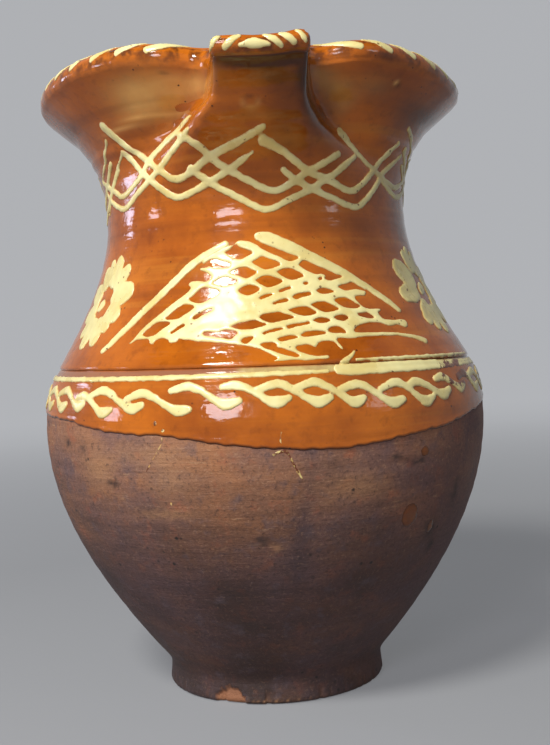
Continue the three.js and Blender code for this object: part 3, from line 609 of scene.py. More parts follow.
def make_handle():
    top, foot = HANDLE_TOP, HANDLE_FOOT
    knots = [(outline_radius(np.array(top)) - ROOT_DEPTH, top)]
    knots += [(HANDLE_REACH - inside, foot + (top - foot) * up) for inside, up in HANDLE_BOW]
    knots += [(outline_radius(np.array(foot)) - ROOT_DEPTH, foot)]
    path = smooth_path(knots, HANDLE_ROWS)
    run = unit(np.gradient(path, axis=0))
    outward = np.stack([-run[:, 1], run[:, 0]], -1)
    t = np.linspace(-1, 1, HANDLE_ROWS)[:, None]
    root = np.abs(t) ** 5
    pressed = np.exp(-((1 - np.abs(t)) / 0.07) ** 2)
    turn = np.linspace(0, 2 * np.pi, HANDLE_COLUMNS, endpoint=False)
    c, s = np.cos(turn), np.sin(turn)
    wide = HANDLE_WIDTH / 2 + ROOT_WIDER * root + PRESSED_WIDER * pressed
    thick = HANDLE_THICK / 2 + PRESSED_THICKER * pressed
    x = wide * np.sign(c) * np.abs(c) ** 0.72 + 0.3 * waves(t * 40, (7.0, 11.0), 51)
    groove = FINGER_GROOVE * (1 - root) * np.exp(-((np.abs(c) / 0.45) ** 2))
    ridge = RIDGE * np.exp(-(((np.abs(c) - 0.62) / 0.2) ** 2)) * (1 - root)
    depth = thick * np.sign(s) * np.abs(s) ** 0.8 + np.where(s > 0, ridge - groove, 0)
    rings = np.stack([x, path[:, :1] + outward[:, :1] * depth, path[:, 1:] + outward[:, 1:] * depth], -1)
    return make_turned("pulled_handle", rings, [(0, *path[0]), (0, *path[-1])])


handle = make_handle()

# %% [markdown]
# ## Trailed slip
# Slip is cream clay as thick as yoghurt, squeezed from a horn or a bulb. It lies on the wall as a low
# round ridge, runs together where two trails cross, and pools where the hand slows down. Bevelled
# curves would give the ridges but not the running together. So each pattern is drawn as a field of
# distances on the unrolled wall: a trail is where the field is above zero, several fields melt into
# one, and the field's depth gives the height.

# %% Helper: a grid over the unrolled wall
CELL = 0.42
OUTSIDE = -4.0  # the field's value far from any slip
MARGIN, NEAR = 5, 6  # round the pattern, and round one run or window of it


def chart_grid(spread, cell):
    low, high = spread.min(0) - MARGIN, spread.max(0) + MARGIN
    return np.arange(low[0], high[0], cell), np.arange(low[1], high[1], cell)


def rough_edge(field, x, y, ragged):
    field += ragged * (waves(x + 0.6 * y, (3.1, 5.7, 9.7), 61) + waves(y - 0.4 * x, (2.7, 4.9), 62))
    field[[0, -1]] = field[:, [0, -1]] = OUTSIDE
    return field


def cells_near(xs, ys, corners):
    """The part of the grid round these corners."""
    low, high = np.min(corners, 0) - NEAR, np.max(corners, 0) + NEAR
    i0, i1 = np.searchsorted(xs, (low[0], high[0]))
    j0, j1 = np.searchsorted(ys, (low[1], high[1]))
    return np.s_[j0:j1, i0:i1]


def from_run(x, y, p, q):
    """How far places are from the straight run between p and q, and the share of it next to them."""
    run = q[:2] - p[:2]
    t = np.clip(((x - p[0]) * run[0] + (y - p[1]) * run[1]) / max(run @ run, 1e-9), 0, 1)
    return np.hypot(x - p[0] - t * run[0], y - p[1] - t * run[1]), t


# %% Helper: the field of trails
MELT = 3.4  # how sharply two trails keep their own edge, per mm
PATH_STEP = 0.8


def trail_path(start, middle, end, knots, per_degree):
    """middle: one width, or a list with one for each knot between the ends."""
    widths = [start, *(middle if isinstance(middle, list) else [middle] * (len(knots) - 2)), end]
    flat = [(a * per_degree, w, width / 2) for (a, w), width in zip(knots, widths)]
    length = sum(math.dist(p[:2], q[:2]) for p, q in zip(flat, flat[1:]))
    return smooth_path(flat, max(4, int(length / PATH_STEP)))


def trail_field(trails, per_degree, pools=(), ragged=0.12, cell=CELL):
    """trails: start, middle and end width, [(angle, way), ...]. pools: angle, way, half width and height."""
    paths = [trail_path(*trail, per_degree) for trail in trails]
    ends = [[(a * per_degree - u, w - v), (a * per_degree + u, w + v)] for a, w, u, v in pools]
    xs, ys = chart_grid(np.vstack([p[:, :2] for p in paths] + ends), cell)
    x, y = np.meshgrid(xs, ys)
    melted = np.zeros_like(x)
    for path in paths:
        depth = np.full_like(x, OUTSIDE)
        for p, q in zip(path, path[1:]):
            part = cells_near(xs, ys, [p[:2], q[:2]])
            away, t = from_run(x[part], y[part], p, q)
            depth[part] = np.maximum(depth[part], p[2] + t * (q[2] - p[2]) - away)
        melted += np.exp(MELT * depth)
    for a, w, u, v in pools:
        drop = (1 - np.hypot((x - a * per_degree) / u, (y - w) / v)) * min(u, v)
        melted += np.exp(MELT * np.maximum(OUTSIDE, drop))
    field = np.log(np.maximum(melted, 1e-9)) / MELT
    return xs, ys, rough_edge(field, x, y, ragged)


# %% Helper: the field of a sheet
SHEET_RAGGED = 0.07


def depth_inside(corners, x, y):
    """Distance from the edge of a smooth closed shape, positive inside."""
    flat = np.vstack([corners, corners[:1]])
    flat = smooth_path(flat, 4 * len(flat))[:-1]
    away, inside = np.full_like(x, 99.0), np.zeros(x.shape, bool)
    for p, q in zip(flat, np.roll(flat, -1, axis=0)):
        away = np.minimum(away, from_run(x, y, p, q)[0])
        crossed = (p[1] > y) != (q[1] > y)
        inside ^= crossed & (x < p[0] + (y - p[1]) * (q[0] - p[0]) / ((q[1] - p[1]) or 1e-9))
    return np.where(inside, away, -away)


def sheet_field(outline, windows, per_degree):
    """A sheet of slip inside an outline, with bare windows in it. Both are lists of (angle, way)."""
    outline, *windows = (np.array(shape) * (per_degree, 1) for shape in (outline, *windows))
    xs, ys = chart_grid(outline, CELL)
    x, y = np.meshgrid(xs, ys)
    field = depth_inside(outline, x, y)
    for window in windows:
        part = cells_near(xs, ys, window)
        field[part] = np.minimum(field[part], -depth_inside(window, x[part], y[part]))
    return xs, ys, rough_edge(np.maximum(field, OUTSIDE), x, y, SHEET_RAGGED)


# %% [markdown]
# The field becomes a mesh in the way a contour map is drawn. Cells that lie wholly inside are quads.
# A cell that the zero line crosses keeps only its inner part, cut where the line passes. The same
# outline a little deeper closes the underside, and a narrow wall joins the two, so each pattern is a
# closed body.

# %% Helper: cut a pattern out of its grid
def cut_cells(xs, ys, field):
    """Points, their depths, the faces, and the rim's edges of the part where the field is above zero."""
    inside = field > 0
    points = [np.stack(np.meshgrid(xs, ys), -1)[inside]]
    count = int(inside.sum())
    number = np.full(field.shape, -1)
    number[inside] = np.arange(count)
    depths = [field[inside]]
    crossings = []
    for axis in (1, 0):
        a, b = (field[:, :-1], field[:, 1:]) if axis else (field[:-1], field[1:])
        cut = (a > 0) != (b > 0)
        j, i = np.nonzero(cut)
        here = np.stack([xs[i], ys[j]], -1)
        here[:, 1 - axis] += np.clip(a[cut] / (a[cut] - b[cut]), 0.08, 0.92) * (xs[1] - xs[0])
        ids = np.full(cut.shape, -1)
        ids[cut] = count + np.arange(len(j))
        count += len(j)
        points.append(here)
        depths.append(np.zeros(len(j)))
        crossings.append(ids)
    across, up = crossings
    corners = np.stack([number[:-1, :-1], number[:-1, 1:], number[1:, 1:], number[1:, :-1]], -1)
    whole = (corners >= 0).all(-1)
    faces = corners[whole].tolist()
    rim = []
    for j, i in zip(*np.nonzero((corners >= 0).any(-1) & ~whole)):
        edges = [int(edge) for edge in (across[j, i], up[j, i + 1], across[j + 1, i], up[j, i])]
        face = []
        for corner, edge in zip(corners[j, i], edges):
            face += [int(v) for v in (corner, edge) if v >= 0]
        faces.append(face)
        rim += [(p, q) for p, q in zip(face, face[1:] + face[:1]) if p in edges and q in edges]
    return np.vstack(points), np.concatenate(depths), faces, rim


# %% Helper: a pattern as a closed mesh
FLAKED = (53.0, 130.0, 7.0, 5.4)  # a place on the right where slip flaked off: angle, way, spread of both
ON_GLAZE, SLIP_DEPTH = GLAZE - 0.06, 0.3  # where slip starts over the clay, and how far down it is closed
SINK, LUMPS, FLAKE_LOSS = 0.22, 0.10, 0.6  # shares of the height


def make_slip(name, pattern, per_degree, height=0.5, shoulder=1.25, base=None, **more_marks):
    """shoulder: way from the edge to the full height. base: where the slip starts over the clay."""
    flat, depth, faces, rim = cut_cells(*pattern)
    angle, way = flat[:, 0] / per_degree, flat[:, 1]
    round_top = np.sqrt(1 - (1 - np.clip(depth / shoulder, 0, 1)) ** 2)
    sunk = 1 - SINK * smooth(depth, 2.0, 4.5)
    lumps = 1 + LUMPS * waves(flat[:, 0] + 0.5 * flat[:, 1], (4.3, 7.7, 13.0), 63)
    flaked = near_spot(angle, way, *FLAKED)
    none = np.zeros_like(way)
    base = none + (ON_GLAZE if base is None else base(angle, way))
    top = on_jug(angle, way, base + height * round_top * sunk * lumps * (1 - FLAKE_LOSS * flaked))
    under = on_jug(angle, way, base - SLIP_DEPTH)
    n = len(flat)
    faces += [[v + n for v in reversed(face)] for face in faces]
    faces += [[q, p, p + n, q + n] for p, q in rim]
    marks = {"thick": round_top, "hem": 1 - round_top, "flaked": flaked}
    marks = {mark: np.concatenate([values, none]) for mark, values in marks.items()}
    marks.update((mark, np.full(2 * n, value)) for mark, value in more_marks.items())
    return make_mesh(name, np.vstack([top, under]), faces, marks)


def trail_slip(name, trails, per_degree, **shape):
    return make_slip(name, trail_field(trails, per_degree), per_degree, **shape)

# %% [markdown]
# ## The lattice round the neck
# Wide double vees, one after the other, each crossing the arms of the next. The front ones follow the
# hand of this jug stroke by stroke. Round the sides and the back, where the picture shows nothing, one
# plain pair repeats.

# %% Neck lattice
PER_DEGREE_NECK = math.radians(64.5)  # millimetres of wall per degree
WIDTH_SHARE = 0.86  # of the widths below
LATTICE = [  # start, middle and end width, places as (angle, way)
    (3.0, 3.0, 2.6, [(-77, 215), (-65, 209.4), (-57, 206.6), (-46, 211.6), (-40.6, 216.6), (-34, 220.5),
     (-26, 224.4), (-21, 228)]),
    (2.6, 3.0, 2.2, [(-74, 209.4), (-68.3, 205.5), (-57.2, 201.6), (-48.3, 205.9), (-40.6, 210.1),
     (-34, 214.4), (-25, 221), (-22, 223.4)]),
    (1.6, 1.8, 1.4, [(-77, 216), (-66, 221), (-57, 227.3)]),
    (1.6, 1.8, 1.4, [(-75, 201.6), (-69, 208.7), (-65, 213), (-53.3, 221.6)]),
    (4.6, 3.2, 2.6, [(-54, 231), (-48.3, 223), (-42.8, 218.7), (-36, 213), (-29.5, 208.7), (-23.3, 210.5),
     (-18.3, 213.7), (-14, 216), (-7, 219), (1, 223)]),
    (3.4, 3.2, 1.4, [(-51.7, 221.6), (-46, 215), (-40.6, 210), (-35, 205.5), (-29.4, 202.3), (-22.8, 204),
     (-17.2, 206.6), (-11.7, 209.5), (-7.2, 212.4), (-2.2, 215.8)]),
    (2.6, 3.2, 3.0, [(-25, 222.5), (-18.3, 217.3), (-15.6, 214.4), (-11, 211), (-5, 207), (4, 202.3),
     (10.6, 205), (16, 208.7), (21.7, 211.6), (27.2, 215)]),
    (3.0, 3.2, 2.6, [(-23.3, 211.6), (-18.3, 207.6), (-14, 204.4), (-7, 200), (1.5, 195.3), (9.4, 198.7),
     (16.7, 202.3), (21.7, 205.5), (26, 208), (30.6, 211.6), (35, 215)]),
    (4.4, 3.2, 2.4, [(1, 219.4), (7, 216), (12.8, 211.6), (17.2, 208.5), (24, 206), (32.8, 202.3),
     (38.3, 204.8), (42.8, 208.7), (47.2, 212.3), (52.8, 218.7), (57.2, 223)]),
    (2.8, 3.2, 2.4, [(7.8, 209.6), (11.7, 206.2), (17.2, 203), (24, 200), (34.4, 196.2), (40.6, 199.4),
     (46, 204.4), (50.6, 209.4), (56, 213.7), (62.8, 219.4)]),
    (4.2, 3.0, 2.4, [(28.3, 223.4), (36, 217.3), (42.8, 213), (50.6, 209.4), (57, 207.3), (64, 206.6),
     (74, 211), (88, 222)]),
    (2.6, 3.0, 2.4, [(50, 208), (57, 204.4), (64, 202.6), (74, 206), (92, 218)]),
    (2.4, 2.2, 2.0, [(59.4, 229), (70.6, 224.4), (80, 213)]),
]
PLAIN_PAIR = [
    (3.6, 3.0, 2.4, [(-28, 222), (-14, 212), (0, 206), (13, 212), (25, 220)]),
    (2.8, 3.0, 2.4, [(-25, 216), (-12, 206), (0, 199.5), (14, 206.5), (28, 217)]),
]
for centre in (92, 122, -87, -117):
    LATTICE += [(*widths, [(a + centre, w) for a, w in knots]) for *widths, knots in PLAIN_PAIR]
LATTICE = [(*(WIDTH_SHARE * width for width in widths), knots) for *widths, knots in LATTICE]
neck_lattice = trail_slip("slip_neck_lattice", LATTICE, PER_DEGREE_NECK)

# %% [markdown]
# ## The net on the front
# Under a peaked border two fans of trails cross, and they ran together so much that the net is nearly
# a sheet with bare windows in it. So it is drawn the other way round: one outline, and a list of the
# windows, each a ring of places. The border on the left stands apart, so it is its own piece.

# %% Outline of the net
PER_DEGREE_NET = math.radians(71.0)
NET_OUTLINE = [  # angle, way
    (-39.9, 146.6), (-37.9, 149.1), (-35.9, 152.9), (-31.7, 157.3), (-26.4, 162.6), (-22.7, 166.2),
    (-23.6, 167.8), (-23, 169), (-20.9, 169.3), (-17.9, 168.9), (-16.4, 170.5), (-18.6, 172.4),
    (-20.1, 173.1), (-20.4, 174), (-18.9, 174.6), (-20.1, 177.3), (-17.9, 178.8), (-15.3, 180.3),
    (-12.6, 181.7), (-9.7, 182.3), (-8.9, 183), (-7.7, 183.8), (-5.4, 183.6), (-3.2, 182.5), (0, 180.5),
    (-1.3, 182.8), (-2.5, 183.8), (-3, 185.2), (-2.3, 186.4), (-0.4, 186.8), (2.1, 186.6), (5, 185.1),
    (9.6, 182.4), (15, 178.9), (20.4, 175.2), (26.1, 171.2), (30.7, 167.2), (35.4, 163), (39.6, 158.8),
    (42, 155.2), (41.6, 154), (40.6, 154.2), (37.9, 157), (33.6, 161), (31.1, 163.4), (30.9, 162),
    (30, 160.8), (27.1, 160.8), (26.3, 160), (27.1, 158), (28.6, 156.2), (30.7, 155.8), (33.7, 155.6),
    (33.8, 154.8), (32.5, 154.2), (32.7, 153), (33.9, 151.5), (37.9, 151.3), (41.1, 151.2), (42, 150.2),
    (41.4, 148.5), (40, 148.1), (37.9, 149.2), (34.6, 148.9), (33, 149.5), (31.8, 150.2), (27.9, 150.4),
    (24.6, 149.5), (22.9, 148.2), (22.7, 147.2), (26.4, 146.9), (33.6, 146.6), (39.3, 145.8),
    (44.3, 144.6), (46.8, 143.2), (46.3, 141.8), (45.4, 141.4), (43.6, 142.6), (37.9, 144.6),
    (32.1, 145.2), (25.7, 145.2), (21.4, 144.9), (17.1, 144.9), (18.2, 141.2), (17.3, 141.2), (16.6, 143),
    (15.6, 144.1), (13.6, 144.3), (12.1, 143.8), (11.2, 142.4), (10.4, 142.6), (9.4, 143.3), (7.4, 143.3),
    (6.1, 142.8), (6.5, 141.5), (8.3, 140.3), (10.1, 139.4), (12, 139.2), (13.7, 139.3), (13.6, 138),
    (9.3, 137.8), (5, 138.1), (0.4, 138), (1.4, 139), (0, 140.5), (-2.9, 142.8), (-5.7, 143.8),
    (-9.3, 144.8), (-14.3, 145.8), (-18.6, 146.5), (-21.4, 147.2), (-23.6, 147.6), (-24.3, 146.4),
    (-26.1, 146.4), (-27.1, 147.8), (-28.9, 148.2), (-30.4, 147.5), (-31.1, 146.1), (-32.3, 146.5),
    (-32.9, 148), (-35, 148.2), (-37.1, 148.1), (-38.6, 146.8),
]
print("places on the outline:", len(NET_OUTLINE))

# %% Windows of the net
NET_WINDOWS = [
    [(-12.4, 179.6), (-10.6, 180.6), (-8.9, 182.3), (-7.3, 181), (-4.9, 179.9), (-3.7, 178.8),
     (-5.3, 177.6), (-7.4, 176.6), (-10.1, 177.5)],
    [(-3.9, 175.3), (-2, 176.4), (-0.7, 177.3), (1.1, 176.3), (3.7, 175.1), (4.8, 173.9), (3, 172.9),
     (0.4, 172.2), (-2, 173.5)],
    [(-20, 174.6), (-18.3, 176.3), (-15.9, 177.2), (-13.1, 176.1), (-10.9, 175.2), (-10.7, 174.1),
     (-12.4, 173.6), (-15, 173.9), (-17.1, 174.4), (-18.9, 174.1)],
    [(-10.6, 171.6), (-8.4, 173), (-6.3, 173.3), (-4.1, 172.4), (-2.6, 171.2), (-4.1, 170), (-5.6, 169.2),
     (-7.6, 170.1)],
    [(-15.6, 168), (-14, 169.3), (-12, 169.9), (-9.7, 169.1), (-8.4, 168.2), (-9.7, 167.2),
     (-12.1, 166.8), (-14.4, 167.2)],
    [(-2.9, 168.1), (-1.1, 169.4), (0.9, 169.8), (3.1, 168.8), (4.9, 167.4), (3, 166), (0.6, 165.4),
     (-1.4, 166.6)],
    [(3.6, 171), (5.6, 172.1), (7.3, 172.3), (9.7, 171.1), (11.6, 169.3), (10.1, 168.4), (8, 167.7),
     (5.6, 169.1)],
    [(-3, 183), (-1.9, 183.4), (0.1, 181.9), (2.6, 180.8), (5.1, 179.4), (7.9, 177.9), (10.3, 176.8),
     (10.6, 176), (8.6, 175.1), (7.3, 175.2), (5, 176.7), (2.1, 178.5), (-0.6, 180.4)],
    [(10.6, 173.5), (12.3, 175.1), (14.6, 174), (17.1, 172.4), (19.3, 171.2), (21.8, 169.7),
     (23.9, 168.6), (22.1, 167.8), (19.3, 167.2), (18, 167.8), (18.6, 168.8), (17.6, 169.7),
     (15.4, 169.8), (13.4, 170.8), (11.8, 172.1)],
    [(10.9, 166.2), (11.9, 166.8), (12.6, 166.3), (11.7, 165.7)],
    [(15.9, 167.8), (16.9, 168.5), (17.2, 167.8), (16.4, 167.2)],
    [(21.7, 164.5), (23, 165.2), (25.4, 165.7), (26.9, 166.2), (28.6, 164.8), (30.4, 163.5),
     (31.1, 162.6), (29.7, 163.1), (27.1, 163.5), (24.4, 163.1), (22.7, 163.8)],
    [(14.6, 163.3), (15.7, 164), (17.3, 164.2), (19.1, 163.6), (20.1, 162.8), (19, 162.3), (16.4, 162),
     (15.3, 162.6)],
    [(7.2, 161.2), (8.6, 162.2), (10.4, 162.6), (12.3, 162.8), (12.9, 162.1), (11.9, 161.4), (9.7, 161),
     (8.4, 160.4)],
    [(3.4, 163.6), (4.7, 164.4), (6.9, 165.1), (7.1, 164.6), (5.6, 163.9), (4.1, 163.3)],
    [(-2.1, 161.3), (-0.9, 162.2), (1.1, 162.8), (1.6, 162.4), (-0.1, 161.6), (-1.6, 160.9)],
    [(1.4, 159.1), (2.4, 159.7), (4, 160.4), (5.4, 160.7), (5.9, 160), (4.9, 159.5), (3, 159.2),
     (2, 158.8)],
    [(-8.1, 164.6), (-7, 165.7), (-5.1, 166.6), (-3.1, 166), (-2, 164.8), (-3.1, 163.6), (-5.1, 162.7),
     (-7, 163.4)],
    [(-22.7, 162.6), (-21.4, 163.9), (-20, 165.5), (-18.4, 166.5), (-16.4, 166), (-14.3, 165.2),
     (-13.7, 164.4), (-15, 163), (-16.8, 161.8), (-18.4, 160.8), (-20, 160.8), (-21.8, 161.5)],
    [(-29.1, 155.8), (-27.6, 157.4), (-25.7, 159.3), (-23.9, 160.4), (-21.7, 160), (-20.7, 159.2),
     (-22, 157.8), (-23.6, 156.5), (-25.1, 155.4), (-27.1, 155.1), (-28.6, 155.2)],
    [(-20.7, 155.2), (-19.6, 156.4), (-17.9, 157.5), (-16, 158.3), (-15.1, 158), (-16.7, 156.9),
     (-18.4, 155.8), (-19.6, 154.8), (-20.4, 154.8)],
    [(-35.4, 150.2), (-34.3, 151.8), (-32.7, 153.5), (-31.1, 154.4), (-28.7, 154.3), (-27.3, 153.8),
     (-28.4, 152.6), (-29.9, 151.2), (-31.4, 149.8), (-33.3, 149.2), (-34.9, 149.6)],
    [(-26.6, 150.4), (-25.7, 151.2), (-24.3, 152.5), (-23, 153.1), (-22.7, 152.4), (-24.3, 151.2),
     (-25.6, 150.1), (-26.3, 149.8)],
    [(-9.7, 151.2), (-7.7, 152.4), (-5.4, 152.9), (-3.6, 153.2), (-1.9, 152.3), (-0.6, 151.5),
     (-2.1, 150.8), (-5, 150), (-7.6, 150.2)],
    [(-17.3, 149.4), (-15.9, 149.8), (-13.6, 149.3), (-11.3, 150.1), (-9.3, 149.8), (-8.1, 149),
     (-9, 147.7), (-9.7, 146.8), (-11.7, 147.3), (-14.4, 148), (-16.4, 148.6)],
    [(-2.4, 154.4), (-0.9, 155.3), (1.4, 155.6), (3, 155.8), (4.6, 155), (7, 153.7), (5.9, 153.1),
     (3.6, 152.7), (1.3, 152.1), (-0.3, 152.5), (-1.6, 153.4)],
    [(5.7, 156.4), (7.5, 157.1), (9.6, 157.5), (11.1, 157.1), (12.5, 156), (13.2, 155), (12.1, 154.4),
     (10, 154), (8.2, 154.6), (6.8, 155.5)],
    [(12.3, 158), (13.2, 158.6), (15.7, 159), (17.1, 158.5), (18.9, 157.2), (19.9, 156.1), (18.6, 155.5),
     (16.4, 155.1), (15, 155.4), (13.6, 156.5)],
    [(19.3, 159.5), (20.4, 160.1), (22.5, 160.3), (24.3, 159.5), (25.7, 158.2), (27, 157.1),
     (26.1, 156.4), (23.6, 156.2), (21.8, 156.8), (20.4, 158)],
    [(12, 152.1), (13.2, 152.8), (15.4, 152.9), (16.6, 152.2), (16.3, 151.6), (14.6, 151.1),
     (13.2, 151.2)],
    [(17.9, 152.8), (18.6, 153.5), (20, 153.8), (21.4, 153.5), (22.1, 152.8), (21.4, 152), (20.4, 151.6),
     (18.9, 152)],
    [(25.4, 154.1), (27.1, 154.1), (28.6, 154.4), (29.6, 153.5), (30.4, 152.4), (28.6, 152.2),
     (26.8, 152.8), (25.7, 153.2)],
    [(4.5, 150.4), (6.4, 151.1), (8.6, 151.3), (10.6, 151.7), (10.8, 151.1), (8.9, 150.6), (6.8, 150.2),
     (5, 149.6)],
    [(-1.8, 148.4), (-0.4, 149.1), (1.4, 149.6), (3.2, 149.9), (3.5, 149.4), (1.4, 148.8), (-0.4, 148.3),
     (-1.4, 147.8)],
    [(8, 147.1), (9.3, 148), (11.4, 148.2), (12.9, 148.2), (14.6, 147.5), (13.9, 146.9), (11.4, 146.6),
     (9.3, 146.3), (8.3, 146.5)],
    [(15.3, 148.2), (16.1, 149.1), (17.5, 149.6), (18.9, 149.2), (19.9, 148), (20, 147), (18.6, 147.1),
     (17.1, 147.2), (15.7, 147.5)],
    [(1.9, 145.9), (3.2, 146.6), (5, 147.1), (6.4, 146.8), (7, 146.1), (5.7, 145.7), (3.6, 145.2),
     (2.5, 145.1)],
    [(-7.1, 145.9), (-6.6, 146.7), (-5.1, 147.2), (-4, 147.2), (-4.4, 146.2), (-5, 145.5), (-5.7, 144.9),
     (-6.7, 145.2)],
    [(-2.5, 144), (-1.8, 144.6), (0.4, 144.9), (1.4, 144.2), (1.6, 143), (3, 142.4), (5, 141.2),
     (6.6, 139.8), (6.1, 139.2), (4.4, 139.8), (2.1, 140.8), (0.4, 142), (-1.4, 143)],
]
print("windows:", len(NET_WINDOWS))

# %% Front net
net_sheet = sheet_field(NET_OUTLINE, NET_WINDOWS, PER_DEGREE_NET)
front_net = make_slip("slip_front_net", net_sheet, PER_DEGREE_NET, height=0.45, shoulder=1.0)

# %% Border of the net
NET_BORDER = [
    (2.6, 3.3, 3.0, [(-48.9, 144.8), (-43.6, 151.5), (-38.6, 158), (-30, 168), (-24.3, 174.5),
     (-19.3, 178.5), (-12.3, 182.6)]),
]
net_border = trail_slip("slip_net_border", NET_BORDER, PER_DEGREE_NET)

# %% [markdown]
# ## The two daisies
# Each petal is one dab of the trailer, drawn out from the eye. The dabs melt into each other at their
# roots, and a single drop sits in the middle.

# %% Daisies
PER_DEGREE_FLOWER = math.radians(72.5)
EYE = 9.2  # from the middle to the root of a petal
TIP, BROAD = 0.92, 1.12  # width at the ends and in the middle, as shares of the width below
LEFT_PETALS = [  # direction in degrees, length, width
    (12, 16.0, 9.2), (46, 16.2, 6.8), (76, 15.6, 7.8), (102, 15.6, 5.4), (124, 14.4, 6.8),
    (163, 15.0, 8.2), (200, 14.0, 7.6), (229, 15.0, 6.4), (256, 15.8, 7.0), (287, 15.2, 6.8),
    (311, 13.2, 5.8), (336, 13.6, 7.4),
]
RIGHT_PETALS = [
    (151, 16.6, 9.6), (187, 18.4, 7.4), (229, 15.6, 6.8), (251, 15.4, 5.8), (278, 15.6, 6.8),
    (315, 15.2, 7.8), (352, 15.0, 7.8), (28, 15.4, 7.8), (64, 15.2, 6.8), (90, 15.8, 5.4),
    (108, 15.2, 5.0),
]
LEFT_DROP = [(4.4, 4.8, 4.4, [(-62.4, 162.3), (-61.9, 162.8), (-61.4, 163.2)])]
RIGHT_DROP = [(4.2, 4.8, 4.4, [(60.9, 163.2), (62.2, 163.9), (63.4, 164.5)])]


def daisy(name, angle, way, petals):
    dabs = []
    for turn, length, width in petals:
        c, s = math.cos(math.radians(turn)), math.sin(math.radians(turn))
        knots = [(angle + c * d / PER_DEGREE_FLOWER, way + s * d) for d in (EYE, (EYE + length) / 2, length)]
        dabs.append((TIP * width, BROAD * width, TIP * width, knots))
    return trail_slip(name, dabs, PER_DEGREE_FLOWER)


left_daisy = daisy("slip_left_daisy", -60.4, 164, LEFT_PETALS)
right_daisy = daisy("slip_right_daisy", 62.5, 163.6, RIGHT_PETALS)
left_drop = trail_slip("slip_left_drop", LEFT_DROP, PER_DEGREE_FLOWER)
right_drop = trail_slip("slip_right_drop", RIGHT_DROP, PER_DEGREE_FLOWER)

# %% [markdown]
# ## Line and wave on the shoulder
# A line of slip runs in the turned groove while the wheel spins. It is thin on the left and starts
# again, thicker, in the middle of the front. Below it runs a chain of hooked strokes, each tucked
# under the next, like a running wave.

# %% Shoulder line
PER_DEGREE_BELLY = math.radians(91.5)


def level_line(start, end, way, drift, step=12):
    count = max(3, int(abs(end - start) / step))
    return [(a, way - drift * math.sin(math.radians(a))) for a in np.linspace(start, end, count)]


LINE = [
    (1.3, 1.9, 1.5, level_line(-160, 12.8, 133.7, 0.3)),
    (3.4, 4.0, 3.4, [(15.4, 133.9), (18, 133.6), (22, 133.6), (30, 133.7), (38, 133.6), (46, 133.5)]),
    (3.2, 2.6, 2.0, level_line(46, 160, 133.6, 0.3)),
    (0.8, 1.1, 0.7, level_line(20.5, 70, 137.6, 0.95, 9)),
    (1.0, 1.7, 2.2, [(20.7, 140.2), (19.2, 138.4), (16.8, 136.4)]),
]
shoulder_line = trail_slip("slip_shoulder_line", LINE, PER_DEGREE_BELLY, height=0.42, shoulder=1.0)

# %% Wave of hooks
WAVE = [  # start, crest, trough, end of each stroke as (angle, way)
    ((-64, 128.5), (-60, 130), (-52, 123.8), (-50, 125)),
    ((-53, 127.4), (-50.3, 128.1), (-42, 121.7), (-39.6, 122.8)),
    ((-47.3, 128), (-43.3, 129.9), (-33, 123.2), (-30.6, 124.3)),
    ((-35, 126.6), (-31, 128.6), (-20.8, 122.2), (-18.8, 122.6)),
    ((-23.2, 129.2), (-19.3, 130.6), (-10.2, 123.9), (-7.6, 124.9)),
    ((-11.3, 130), (-8.6, 130.5), (0.6, 123.8), (3.2, 125)),
    ((-3.4, 128.6), (0.6, 130.2), (9.8, 123.2), (12.4, 124.6)),
    ((4.9, 128.4), (9, 130.1), (18.4, 122.2), (20.2, 123.6)),
    ((14.8, 127), (18.7, 128.6), (28, 121), (30.6, 122)),
    ((24.8, 126.2), (29.2, 128.2), (37.8, 120.4), (40.2, 121.8)),
    ((32.4, 126.4), (35.2, 127.9), (44.6, 122.2), (47.2, 123.8)),
    ((42.4, 128.2), (45, 128.8), (53, 124), (55.6, 125.4)),
    ((53, 128), (57, 129.4), (64.5, 123), (67, 124.4)),
    ((61, 128.4), (65, 129.6), (73, 123), (75.4, 124.6)),
]
PLAIN_HOOK = ((-4, 128.4), (0, 130), (9, 123.2), (11.6, 124.6))
HOOK_WIDTHS = (2.6, [3.4, 3.0, 2.6, 3.2, 4.4], 2.8)
for k in range(8):
    for first, step in ((75, 10.1), (-70, -10.1)):
        WAVE.append([(a + first + step * k, w) for a, w in PLAIN_HOOK])


def hook(start, crest, trough, end):
    """One S-shaped stroke: over the crest, down, round the trough, and a short upward end."""
    (a1, w1), (a2, w2) = crest, trough
    slope = [(a1 + (a2 - a1) * t, w1 + (w2 - w1) * u) for t, u in ((0.3, 0.19), (0.54, 0.51), (0.78, 0.84))]
    return *HOOK_WIDTHS, [start, crest, *slope, trough, end]


wave = trail_slip("slip_wave", [hook(*stroke) for stroke in WAVE], PER_DEGREE_BELLY, height=0.55)

# %% [markdown]
# ## Dashes on the rim
# Slanting dashes go all round the top of the lip. On the spout they fan out from the middle, and the
# middle one is a broad half-moon. Each was laid with one touch, so each is its own little body on the
# round of the lip.

# %% Rim and spout dashes
PER_DEGREE_RIM = math.radians(RIM_RADIUS)
RIM_DASHES, FIRST_DASH, RIM_WIDTHS = 38, 22.5, (2.6, 3.1, 2.2)
SPOUT_DASHES = [  # widths, start and end as angle and share of the lip, bow
    ((1.4, 2.0, 1.6), (-10.4, 0.3), (-8.6, 0.62), 0.03),
    ((2.0, 2.6, 2.2), (-7.2, 0.32), (-4.4, 0.66), 0.02),
    ((1.2, 3.2, 1.2), (-4.1, 0.36), (2.1, 0.36), 0.06),
    ((1.8, 2.3, 1.8), (1.2, 0.66), (4.6, 0.3), 0.02),
    ((1.8, 2.3, 1.8), (4.6, 0.66), (7.4, 0.32), 0.02),
    ((1.4, 1.9, 1.4), (8.0, 0.66), (9.8, 0.34), 0.02),
]


